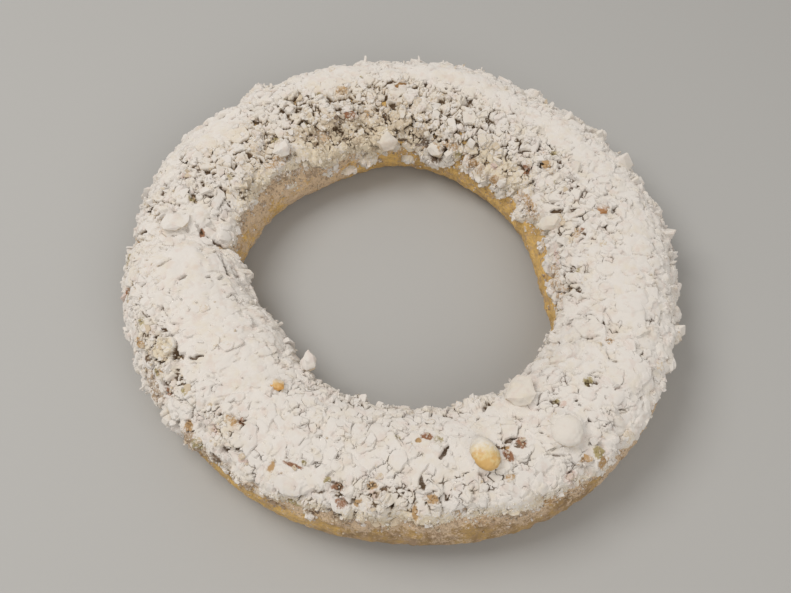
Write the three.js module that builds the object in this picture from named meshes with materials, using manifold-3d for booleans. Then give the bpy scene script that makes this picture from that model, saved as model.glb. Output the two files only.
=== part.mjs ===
// A baked Christmas wreath: a hand-rolled ring of sweet yeast dough, under a broken crust of chopped nuts
// and sugar. Millimetres, +Z up. The wreath stands on the XY plane, and the origin is under the middle of its
// bounding box. Seen from above with +Y away, the two ends of the roll are joined on the left.
import * as THREE from "three";
import { ConvexGeometry } from "three/addons/geometries/ConvexGeometry.js";
import { mergeVertices } from "three/addons/utils/BufferGeometryUtils.js";
import Module from "manifold-3d";

const wasm = await Module();
wasm.setup();

const { degToRad, radToDeg, lerp, smoothstep, euclideanModulo } = THREE.MathUtils;

// ---------------------------------------------------------------- driving sizes

const ROLL_STEPS = 18; // facets round the dough roll
const DOUGH_STEPS = 76; // facets of the dough along the ring
const CRUST_STEPS = 110; // facets of the crust along the ring
const OVER_STEPS = 14; // facets over the crust, from edge to edge
const RETURN_STEPS = 4; // facets that close the crust's block inside the dough

// The roll at each hour of the clock, counted anticlockwise from +X: how far its middle is from the ring's
// middle, its width, and its height without the crust.
const HOURS = [
  { middle: 104, width: 66, height: 44 },
  { middle: 105, width: 69, height: 43 },
  { middle: 106, width: 65, height: 42 },
  { middle: 110, width: 60, height: 42 },
  { middle: 110, width: 65, height: 42 },
  { middle: 113, width: 62, height: 43 },
  { middle: 110, width: 56, height: 45 },
  { middle: 101, width: 65, height: 46 },
  { middle: 105, width: 59, height: 45 },
  { middle: 106, width: 60, height: 45 },
  { middle: 112, width: 60, height: 45 },
  { middle: 112, width: 58, height: 45 },
];

// The roll's section.
const BELLY = 0.4; // height of the widest place, as a share of the roll's height
const SIDE_POWER = 0.86; // under 1 makes the sides fuller than an ellipse
const CROWN_POWER = 0.92;
const FOOT_DEPTH = 1.35; // over 1 flattens the underside on the tray
const FOOT_POWER = 1.3;
const UNEVEN_SHARE = 0.04; // how much the rise of the dough varies
const UNEVEN_LENGTH = 34;

// The join of the roll's two ends: a crease that bends over the crown, with the end past it standing proud.
const JOIN_ANGLE = degToRad(176.5);
const JOIN_BEND = degToRad(4);
const JOIN_HALF_WIDTH = degToRad(2.6);
const JOIN_DEPTH = 0.1; // share of the roll's reach
const JOIN_STEP = 0.06;
const JOIN_STEP_LENGTH = degToRad(20);

// How far the crust reaches down the outer and the inner side, in degrees from the crown, at an angle round
// the ring.
const CRUST_EDGES = [
  { at: 0, outer: 100, inner: 58 },
  { at: 30, outer: 92, inner: 62 },
  { at: 60, outer: 88, inner: 68 },
  { at: 90, outer: 86, inner: 74 },
  { at: 120, outer: 88, inner: 66 },
  { at: 150, outer: 94, inner: 56 },
  { at: 172, outer: 100, inner: 60 },
  { at: 179, outer: 104, inner: 92 },
  { at: 208, outer: 106, inner: 100 },
  { at: 217, outer: 100, inner: 98 },
  { at: 227, outer: 74, inner: 94 },
  { at: 250, outer: 64, inner: 90 },
  { at: 275, outer: 58, inner: 86 },
  { at: 305, outer: 60, inner: 86 },
  { at: 330, outer: 76, inner: 76 },
];
const EDGE_RAGGED = 7; // degrees that the edge wanders either way
const EDGE_RAGGED_LENGTH = 13;

// The crust is a bed of chopped nuts and sugar, with broken plates standing out of it.
const BED_THICKNESS = 2.9;
const EDGE_SHARE = 0.45; // how much of the thickness is left at the crust's edge
const EDGE_TAPER = 16; // degrees over which it thins
const PLATE_RISE = 3.4;
const PLATE_SPACING = 11;
const PLATE_BEVEL = 0.22; // width of the slope round a plate, as a share of the spacing
const LOWEST_PLATE = 0.15; // share of the rise
const BLOCK_DEPTH = 6; // how far the crust's block goes into the dough before it is cut
const GAP = 0.35; // between touching solids

// Nut pieces as large as a berry, set in the crust. The size is along the ring, across it and upwards.
// A piece is placed by degrees round the ring and from the crown outwards, leaned away from the hole, and
// spun on its foot.
const NUTS = [
  { name: "bare_kernel", look: "kernel", size: [13, 17, 9], at: 289, turn: 2, lean: 0, spin: 12 },
  { name: "sugared_kernel", look: "sugar", size: [16, 15, 9.5], at: 308, turn: 10, lean: 0, spin: 30 },
  { name: "upright_chunk", look: "sugar", size: [8, 7.5, 14], at: 231, turn: -56, lean: 34, spin: 20 },
  { name: "rim_chunk", look: "sugar", size: [15, 17, 9], at: 306, turn: -33, lean: 6, spin: -25 },
  { name: "inner_chunk_1", look: "sugar", size: [10, 11, 8], at: 96, turn: -56, lean: 10, spin: 40 },
  { name: "inner_chunk_2", look: "sugar", size: [9, 8, 7.5], at: 133, turn: -30, lean: 0, spin: 15 },
  { name: "inner_chunk_3", look: "sugar", size: [9, 7.5, 7], at: 76, turn: -58, lean: 8, spin: -20 },
  { name: "inner_chunk_4", look: "sugar", size: [8, 12.5, 7], at: 17, turn: -40, lean: 0, spin: -15 },
  { name: "join_slab", look: "sugar", size: [9, 15, 5], at: 171, turn: 4, lean: 3, spin: 8 },
  { name: "outer_flake", look: "sugar", size: [5.5, 9, 4.5], at: 38, turn: 54, lean: -22, spin: 10 },
  { name: "gold_chip", look: "gold", size: [7, 6.5, 3.5], at: 231, turn: -18, lean: 0, spin: 35 },
  { name: "amber_chip", look: "amber", size: [7.5, 5.5, 3.5], at: 90, turn: -2, lean: 12, spin: -15 },
  { name: "brown_chip", look: "brown", size: [7, 8, 3.5], at: 15, turn: 2, lean: 0, spin: 50 },
];
const FOOT_CLEARANCE = 1.2; // between the dough and the underside of a nut piece
const STAND_OUT = 1.6; // least height of a nut piece's middle over the crust's bed
const CHUNK_CORNERS = 15;
const CHUNK_KNOCK = 0.3; // how far a chopped corner is knocked about, as a share of the radius
const GOLDEN_ANGLE = Math.PI * (3 - Math.sqrt(5));
const KERNEL_STEPS = { round: 12, rise: 8 };

const look = (color, roughness) => new THREE.MeshStandardMaterial({ color, roughness, metalness: 0 });
const LOOKS = {
  dough: look(0xc89b60, 0.8),
  sugar: look(0xe2dacd, 0.95),
  kernel: look(0xdbc48f, 0.55),
  gold: look(0xd9b77f, 0.6),
  amber: look(0x94703c, 0.5),
  brown: look(0xb28a60, 0.65),
};

// ---------------------------------------------------------------- unevenness

// A repeatable value from 0 to 1 for a cell of space.
function cellValue(i, j, k) {
  const mixed = Math.sin(i * 127.1 + j * 311.7 + k * 74.7) * 43758.5453;
  return mixed - Math.floor(mixed);
}

// Every whole step from the first to the last in each of the three directions.
function stepsBetween(first, last) {
  const steps = [];
  for (let i = first; i <= last; i++) {
    for (let j = first; j <= last; j++) {
      for (let k = first; k <= last; k++) {
        steps.push(new THREE.Vector3(i, j, k));
      }
    }
  }
  return steps;
}
const CORNERS = stepsBetween(0, 1);
const NEIGHBOURS = stepsBetween(-1, 1);

// Smooth noise from -1 to 1, with swells about one length apart.
function unevenness(point, length) {
  const scaled = point.clone().divideScalar(length);
  const low = scaled.clone().floor();
  const part = scaled.sub(low);
  const share = (side, at) => (side ? smoothstep(at, 0, 1) : 1 - smoothstep(at, 0, 1));
  let sum = 0;
  for (const corner of CORNERS) {
    const weight = share(corner.x, part.x) * share(corner.y, part.y) * share(corner.z, part.z);
    sum += weight * cellValue(low.x + corner.x, low.y + corner.y, low.z + corner.z);
  }
  return 2 * sum - 1;
}

// Broken plates packed side by side: 0 in the cracks, and up to 1 on the plate that stands highest.
function plates(point, spacing) {
  const scaled = point.clone().divideScalar(spacing);
  const low = scaled.clone().floor();
  const seeds = NEIGHBOURS.map((step) => {
    const { x, y, z } = low.clone().add(step);
    const seed = new THREE.Vector3(x + cellValue(x, y, z), y + cellValue(y, z, x), z + cellValue(z, x, y));
    return { distance: seed.distanceTo(scaled), height: cellValue(z, y, x) };
  }).sort((a, b) => a.distance - b.distance);
  const toCrack = seeds[1].distance - seeds[0].distance;
  return lerp(LOWEST_PLATE, 1, seeds[0].height) * smoothstep(toCrack, 0, PLATE_BEVEL);
}

// ---------------------------------------------------------------- the roll

const hourCurve = new THREE.CatmullRomCurve3(
  HOURS.map((hour) => new THREE.Vector3(hour.middle, hour.width, hour.height)),
  true,
  "catmullrom",
);

// Share of a full turn that an angle is, from 0 to 1.
const wrapped = (angle) => euclideanModulo(angle / (2 * Math.PI), 1);

// The plain section at a turn from the crown, x outwards and y up: flat below, widest at the belly, and
// domed above.
function plainSection(turn, width, height) {
  const side = Math.sin(turn);
  const rise = Math.cos(turn);
  const out = (width / 2) * Math.sign(side) * Math.abs(side) ** SIDE_POWER;
  const belly = BELLY * height;
  const dome = belly + (height - belly) * Math.abs(rise) ** CROWN_POWER;
  const foot = belly * (1 - FOOT_DEPTH * Math.abs(rise) ** FOOT_POWER);
  return new THREE.Vector2(out, rise >= 0 ? dome : Math.max(foot, 0));
}

// The crease at the join and the proud end past it, as a factor on the roll's reach.
function joinFactor(angle, turn) {
  const crease = JOIN_ANGLE - JOIN_BEND * Math.sin(turn) ** 2;
  const past = euclideanModulo(angle - crease + Math.PI, 2 * Math.PI) - Math.PI;
  const fold = JOIN_DEPTH * Math.exp(-((past / JOIN_HALF_WIDTH) ** 2));
  const step = past > 0 ? JOIN_STEP * Math.exp(-past / JOIN_STEP_LENGTH) : 0;
  return 1 - fold + step;
}

// A point of the dough's surface, raised from it by lift.
function doughPoint(angle, turn, lift) {
  const { x: middle, y: width, z: height } = hourCurve.getPoint(wrapped(angle));
  const nudge = 0.01;
  const plain = plainSection(turn, width, height);
  const along = plainSection(turn + nudge, width, height)
    .sub(plainSection(turn - nudge, width, height))
    .normalize();
  const radius = middle + plain.x;
  const place = new THREE.Vector3(radius * Math.cos(angle), radius * Math.sin(angle), plain.y);
  const swell = (1 + UNEVEN_SHARE * unevenness(place, UNEVEN_LENGTH)) * joinFactor(angle, turn);
  const reach = middle + plain.x * swell - along.y * lift;
  const rise = plain.y * swell + along.x * lift;
  return new THREE.Vector3(reach * Math.cos(angle), reach * Math.sin(angle), rise);
}

// A closed ring with the given facets along it and round it, each corner put where placeAt says.
function ringOf(alongSteps, roundSteps, placeAt) {
  const circle = Array.from({ length: roundSteps + 1 }, (_, j) => {
    const turn = (2 * Math.PI * j) / roundSteps;
    return new THREE.Vector2(2 + Math.cos(turn), Math.sin(turn));
  });
  const geometry = new THREE.LatheGeometry(circle, alongSteps);
  const corners = geometry.getAttribute("position");
  for (let i = 0; i <= alongSteps; i++) {
    for (let j = 0; j <= roundSteps; j++) {
      const corner = placeAt((2 * Math.PI * (i % alongSteps)) / alongSteps, j % roundSteps);
      corners.setXYZ(i * (roundSteps + 1) + j, corner.x, corner.y, corner.z);
    }
  }
  return geometry;
}

function doughRing(lift) {
  return ringOf(DOUGH_STEPS, ROLL_STEPS, (angle, j) =>
    doughPoint(angle, Math.PI / 2 - (2 * Math.PI * j) / ROLL_STEPS, lift),
  );
}

// ---------------------------------------------------------------- nut pieces

// A kernel, rounded, or a chunk: the hull of a few corners knocked about a ball. Both are brought to size.
function nutGeometry(nut, growth) {
  const geometry = nut.name.endsWith("kernel")
    ? new THREE.SphereGeometry(1, KERNEL_STEPS.round, KERNEL_STEPS.rise)
    : new ConvexGeometry(
        Array.from({ length: CHUNK_CORNERS }, (_, n) => {
          const fall = Math.acos(1 - (2 * n + 1) / CHUNK_CORNERS);
          const round = n * GOLDEN_ANGLE + CHUNK_KNOCK * cellValue(nut.at, n, 1);
          const radius = 1 - CHUNK_KNOCK * cellValue(nut.at, n, 2);
          return new THREE.Vector3().setFromSphericalCoords(radius, fall, round);
        }),
      );
  geometry.center();
  const extent = geometry.boundingBox.getSize(new THREE.Vector3());
  const [x, y, z] = nut.size.map((side) => side + growth);
  return geometry.scale(x / extent.x, y / extent.y, z / extent.z);
}

// The mesh of a nut piece, with its foot on the crust's bed or, if it is thick, down near the dough.
function nutMesh(nut) {
  const angle = degToRad(nut.at);
  const turn = degToRad(nut.turn);
  const foot = doughPoint(angle, turn, 0);
  const outwards = doughPoint(angle, turn, 1).sub(foot).normalize();
  const onwards = new THREE.Vector3(-Math.sin(angle), Math.cos(angle), 0);
  const across = new THREE.Vector3().crossVectors(outwards, onwards);
  const mesh = new THREE.Mesh(nutGeometry(nut, 0), LOOKS[nut.look]);
  mesh.name = nut.name;
  mesh.quaternion.setFromRotationMatrix(new THREE.Matrix4().makeBasis(onwards, across, outwards));
  mesh.rotateX(degToRad(nut.lean));
  mesh.rotateZ(degToRad(nut.spin));
  const middle = Math.max(FOOT_CLEARANCE + nut.size[2] / 2, BED_THICKNESS + STAND_OUT);
  mesh.position.copy(foot).addScaledVector(outwards, middle);
  return mesh;
}

const nutMeshes = NUTS.map(nutMesh);

// ---------------------------------------------------------------- the crust

// How far down each side the crust reaches at an angle, in radians from the crown.
function crustEdges(angle) {
  const degrees = 360 * wrapped(angle);
  const next = CRUST_EDGES.findIndex((edge) => edge.at > degrees);
  const after = next < 0 ? { ...CRUST_EDGES[0], at: 360 } : CRUST_EDGES[next];
  const before = CRUST_EDGES.at(next < 0 ? -1 : next - 1);
  const share = smoothstep(degrees, before.at, after.at);
  const reach = (turn) => {
    const start = degToRad(turn);
    return start + degToRad(EDGE_RAGGED) * unevenness(doughPoint(angle, start, 0), EDGE_RAGGED_LENGTH);
  };
  return {
    outer: reach(lerp(before.outer, after.outer, share)),
    inner: -reach(-lerp(before.inner, after.inner, share)),
  };
}

// Whether plates may stand at a place: 0 where a nut piece sits, 1 a plate's width away from it.
function clearOfNuts(place) {
  const shares = nutMeshes.map((mesh, n) => {
    const reach = Math.max(...NUTS[n].size) / 2;
    return smoothstep(place.distanceTo(mesh.position), reach, reach + PLATE_SPACING / 2);
  });
  return Math.min(...shares);
}

// A point on top of the crust, which thins towards its edges.
function crustPoint(angle, turn, edges) {
  const fromEdge = radToDeg(Math.min(edges.outer - turn, turn + edges.inner));
  const taper = lerp(EDGE_SHARE, 1, smoothstep(fromEdge, 0, EDGE_TAPER));
  const bed = doughPoint(angle, turn, BED_THICKNESS);
  const plate = PLATE_RISE * plates(bed, PLATE_SPACING) * clearOfNuts(bed);
  return doughPoint(angle, turn, (BED_THICKNESS + plate) * taper);
}

// The crust's block: its true top, closed inside the dough.
function crustBlock() {
  return ringOf(CRUST_STEPS, OVER_STEPS + RETURN_STEPS + 1, (angle, j) => {
    const edges = crustEdges(angle);
    const turnAt = (share) => lerp(edges.outer, -edges.inner, share);
    if (j <= OVER_STEPS) return crustPoint(angle, turnAt(j / OVER_STEPS), edges);
    return doughPoint(angle, turnAt(1 - (j - OVER_STEPS - 1) / RETURN_STEPS), -BLOCK_DEPTH);
  });
}

// ---------------------------------------------------------------- solids

function solidOf(geometry) {
  const bare = geometry.clone();
  bare.deleteAttribute("normal");
  bare.deleteAttribute("uv");
  const merged = mergeVertices(bare, 1e-3);
  const triVerts = new Uint32Array(merged.index.array);
  return new wasm.Manifold(
    new wasm.Mesh({ numProp: 3, vertProperties: merged.getAttribute("position").array, triVerts }),
  );
}

function geometryOf(solid) {
  const { vertProperties, triVerts } = solid.getMesh();
  return new THREE.BufferGeometry()
    .setAttribute("position", new THREE.BufferAttribute(vertProperties, 3))
    .setIndex(new THREE.BufferAttribute(triVerts, 1));
}

// The crust without the dough below it and without a pocket for each nut piece.
function crustGeometry() {
  let crust = solidOf(crustBlock()).subtract(solidOf(doughRing(GAP)));
  nutMeshes.forEach((mesh, n) => {
    mesh.updateMatrix();
    crust = crust.subtract(solidOf(nutGeometry(NUTS[n], 2 * GAP).applyMatrix4(mesh.matrix)));
  });
  return geometryOf(crust);
}

function named(name, geometry, material) {
  const mesh = new THREE.Mesh(geometry, material);
  mesh.name = name;
  return mesh;
}

const wreath = new THREE.Group();
wreath.add(named("dough_ring", doughRing(0), LOOKS.dough));
wreath.add(named("nut_sugar_crust", crustGeometry(), LOOKS.sugar));
wreath.add(...nutMeshes);

// Stand it with the origin under the middle of its box.
const middle = new THREE.Box3().setFromObject(wreath, true).getCenter(new THREE.Vector3());
wreath.position.set(-middle.x, -middle.y, 0);

export default wreath;
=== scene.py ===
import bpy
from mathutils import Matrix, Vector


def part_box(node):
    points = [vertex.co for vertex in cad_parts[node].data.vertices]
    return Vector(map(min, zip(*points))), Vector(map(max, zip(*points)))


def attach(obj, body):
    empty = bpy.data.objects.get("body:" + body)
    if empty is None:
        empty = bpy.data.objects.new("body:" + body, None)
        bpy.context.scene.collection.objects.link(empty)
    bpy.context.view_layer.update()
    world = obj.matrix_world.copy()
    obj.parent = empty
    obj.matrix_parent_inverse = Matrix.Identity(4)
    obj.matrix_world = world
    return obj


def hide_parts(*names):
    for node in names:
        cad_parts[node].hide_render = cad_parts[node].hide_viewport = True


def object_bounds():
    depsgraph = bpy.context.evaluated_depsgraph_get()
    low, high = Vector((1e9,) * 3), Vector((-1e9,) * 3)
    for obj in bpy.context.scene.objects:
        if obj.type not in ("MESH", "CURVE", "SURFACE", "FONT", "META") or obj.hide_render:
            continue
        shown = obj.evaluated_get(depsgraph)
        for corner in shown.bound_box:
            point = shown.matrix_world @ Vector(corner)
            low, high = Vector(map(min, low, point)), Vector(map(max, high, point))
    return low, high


bl_info = {
    "name": "Christmas Pastry Wreath",
    "version": (1, 0, 0),
    "blender": (4, 5, 0),
    "location": "View3D > Sidebar > Wreath",
    "description": "A baked wreath of sweet dough under a broken crust of chopped nuts and powdered sugar",
    "category": "Add Mesh",
}

import math

import bmesh
import bpy
import numpy as np
from bpy.props import FloatProperty, FloatVectorProperty, IntProperty, PointerProperty
from mathutils import Vector
from mathutils.bvhtree import BVHTree

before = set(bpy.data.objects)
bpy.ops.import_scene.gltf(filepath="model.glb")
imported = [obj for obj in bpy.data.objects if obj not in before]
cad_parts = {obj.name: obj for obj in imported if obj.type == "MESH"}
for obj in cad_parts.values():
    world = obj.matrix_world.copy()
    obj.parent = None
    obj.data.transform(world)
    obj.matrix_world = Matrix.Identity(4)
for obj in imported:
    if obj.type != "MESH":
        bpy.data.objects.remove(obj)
CAD_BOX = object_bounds()

# ---------------------------------------------------------------- the wreath's layout

MM = 0.001

DOUGH = "dough_ring"
CRUST = "nut_sugar_crust"
KERNELS = ("bare_kernel", "sugared_kernel")
CHUNKS = tuple(n for n in sorted(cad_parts) if n not in (DOUGH, CRUST, *KERNELS))

# The crust is worked out on a grid: columns round the ring, and rows from its outer edge to its inner one.
COLUMNS = 2304
ROWS = 268
PARTS = 8  # stretches of the ring that the crust is split into
BELLY = 0.4  # where the middle of the roll lies, as a share of the dough's height
OUTER_ROOM = math.radians(20)  # how far the grid runs past the crust's outer edge
INNER_ROOM = math.radians(30)  # and past its inner edge
NEAREST = math.radians(40)  # how far down from the crown the crust reaches at least
FURTHEST = math.radians(130)  # and at most
EDGE_STEP = math.radians(1.5)  # the steps in which its edges are looked for
EDGE_COLUMNS = 4  # and the columns that share one look
EVENED = COLUMNS / 160  # over how many columns those steps are blurred away
NORMALS_BLURRED = (2.0, 1.5)  # over how many columns and rows the dough's normals are blurred
UNDER_ROWS = 6  # rows of the crust's underside
UNDER_DEPTH = 3 * MM  # how deep the underside lies in the dough
SHARP = math.radians(28)  # edges of chopped nut sharper than this are crisp
SMOOTHED = 3  # levels of subdivision of the dough and the kernels
WELD = 1e-6  # points of a solid nearer to each other than this are one point
WELD_TUBE = 1e-7  # and points of the crust
WELD_CUT = 1e-5  # and points of a chopped piece

SEEDS = {"heap": 7, "slabs": 21, "shards": 22, "crumbs": 23, "splinters": 24}

UNEVENNESS = {  # how strong it is, how large its swells are, and its seed; outlines are the patches' own
    "dough swell": (1.0, 15 * MM, 11),
    "dough dents": (0.8, 5 * MM, 13),
    "dough wrinkles": (1.0, 2 * MM, 12),
    "dough lumps": (1.0, 3.5 * MM, 14),
    "flour": (1.0, 9 * MM, 21),
    "outlines": (0.25, 5 * MM, 5),
    "crust edge": (2.4 * MM, 5 * MM, 31),
    "crust bays": (2.2 * MM, 15 * MM, 32),
    "looseness": (0.4, 16 * MM, 3),
    "gap bends along": (1.1 * MM, 4 * MM, 61),
    "gap bends across": (1.1 * MM, 4 * MM, 62),
    "gap sides": (0.7, 1.5 * MM, 63),
    "cracked stretches": (0.9, 4.5 * MM, 51),
    "crack breaks": (0.35, 1.3 * MM, 52),
    "crust waves": (0.5 * MM, 13 * MM, 41),
    "grit": (0.45 * MM, 1.6 * MM, 43),
    "banks": (0.9, 3 * MM, 71),
}

ZONES = {  # how far inside the crust's edge they start, are full, and then perhaps fade and end
    "bed": (-1.5 * MM, 11 * MM),
    "laid pieces": (-0.5 * MM, 2 * MM),
    "rim blocks": (0, 2 * MM, 7 * MM, 14 * MM),
    "relief": (-1 * MM, 2.5 * MM),
    "no grit": (2 * MM, 9 * MM),
    "thick sugar": (0, 8 * MM),
    "slabs": (1.5 * MM, 4 * MM),
    "splinters": (0, 2 * MM),
    "few splinters": (6 * MM, 16 * MM),
    "shards": (-1.5 * MM, 0.5 * MM),
    "rim shards": (-1 * MM, 1 * MM, 3 * MM, 7 * MM),
    "crumbs": (-3 * MM, 1 * MM),
    "rim crumbs": (-8 * MM, 0, 2 * MM, 7 * MM),
}

LAYERS = {  # the pieces of the heap: how thick they are, and how far they tilt
    "plate": (0.8 * MM, 0.11),
    "block": (1.6 * MM, 0.26),
    "sheet": (0.22 * MM, 0.035),
    "flake": (0.42 * MM, 0.10),
}

SHAPES = {  # the loose pieces: how many shapes, the cuts of each, its thickness, and its knocked edges
    "slabs": (20, 5, 0.34, 0.045),
    "splinters": (16, 5, 0.5, 0.04),
    "shards": (24, 4, 0.5, 0.0),
}
CRUMB_SHAPES = 16

PATCH_FADE = 0.55  # where a listed patch starts to fade, as a share of its radius
STAIN_FADE = 0.3  # and where a stain does
PATCH_END = 1.25  # and where they have faded out

# Places on the wreath. A row starts with an angle round the ring and a turn from the crown outwards, in
# degrees. Most go on with a length along the ring and a width across it, in millimetres, and a strength.
DRIFTS = [  # powdered sugar that buries the nuts: how deep
    (208, -8, 80, 22, 1.6), (184, -4, 26, 22, 1.3), (168, -8, 16, 14, 1.2), (308, 8, 20, 16, 0.9),
    (325, 18, 30, 14, 1.1), (349, 14, 34, 16, 1.1), (5, 30, 34, 14, 0.9), (75, 30, 70, 18, 1.1),
    (40, 24, 36, 14, 0.7), (108, 30, 40, 18, 0.9), (142, 26, 36, 14, 0.7), (250, 34, 14, 8, 0.7),
    (245, 4, 18, 8, 0.5),
]
BROKEN = [  # stretches with little sugar, where the chopped nuts lie loose: how loose
    (97, -48, 84, 16, 1.0), (118, -32, 40, 16, 1.0), (140, -30, 40, 14, 0.6), (203, 48, 52, 16, 1.0),
    (228, 40, 30, 12, 0.8), (268, 36, 50, 14, 0.4), (283, 28, 40, 12, 0.2), (95, -10, 90, 26, 0.5),
    (112, 14, 80, 20, 0.35), (40, -24, 70, 30, 0.35), (72, -14, 60, 26, 0.35), (128, -2, 60, 34, 0.45),
    (152, -10, 40, 44, 0.45), (12, -24, 40, 30, 0.3), (255, -62, 60, 12, 0.7), (290, -58, 50, 12, 0.7),
    (8, -44, 40, 8, 0.7), (350, -46, 20, 8, 0.7), (165, 34, 24, 14, 0.6), (52, -46, 40, 12, 0.5),
]
PLATES = [  # the large flat plates: length, width, the turn on the surface in degrees, and the rise in mm
    (163.5, 9, 9, 8, 12, 1.2), (160.5, -27, 14, 5, -8, 1.3), (172.5, 12, 8, 13, 6, 0.9),
    (178, -12, 10, 10, 20, 0.8), (184, -31, 12, 9, 4, 1.3), (171.5, -28, 5, 7, 10, 1.0),
    (171.5, -43, 5, 7, 0, 1.0), (235, 29, 10, 14, 30, 0.8), (205, 42, 9, 10, 15, 0.8),
    (247, 45, 16, 9, -5, 0.9), (267.5, 37, 9, 6, 0, 0.8), (269, 4, 9, 9, 25, 0.6),
    (297, -14, 9, 6, -20, 0.9), (309, -27, 11, 5, -12, 1.0), (345, 9, 13, 15, 20, 0.7),
    (335, -27, 12, 8, -20, 0.8), (45, -19, 10, 9, 30, 0.8), (59, -39, 9, 7, 10, 0.9),
    (88, -10, 13, 7, 6, 0.9), (90, -44, 13, 10, 5, 1.2), (96.5, -66, 7, 8, 15, 1.3),
    (77.5, -69, 9, 5, 0, 1.2), (67, -26, 8, 8, 20, 0.8), (132.5, -38, 9, 6, 8, 1.3),
    (114, 0, 12, 6, -8, 0.8), (139, 6, 12, 12, 20, 0.6),
]
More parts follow.
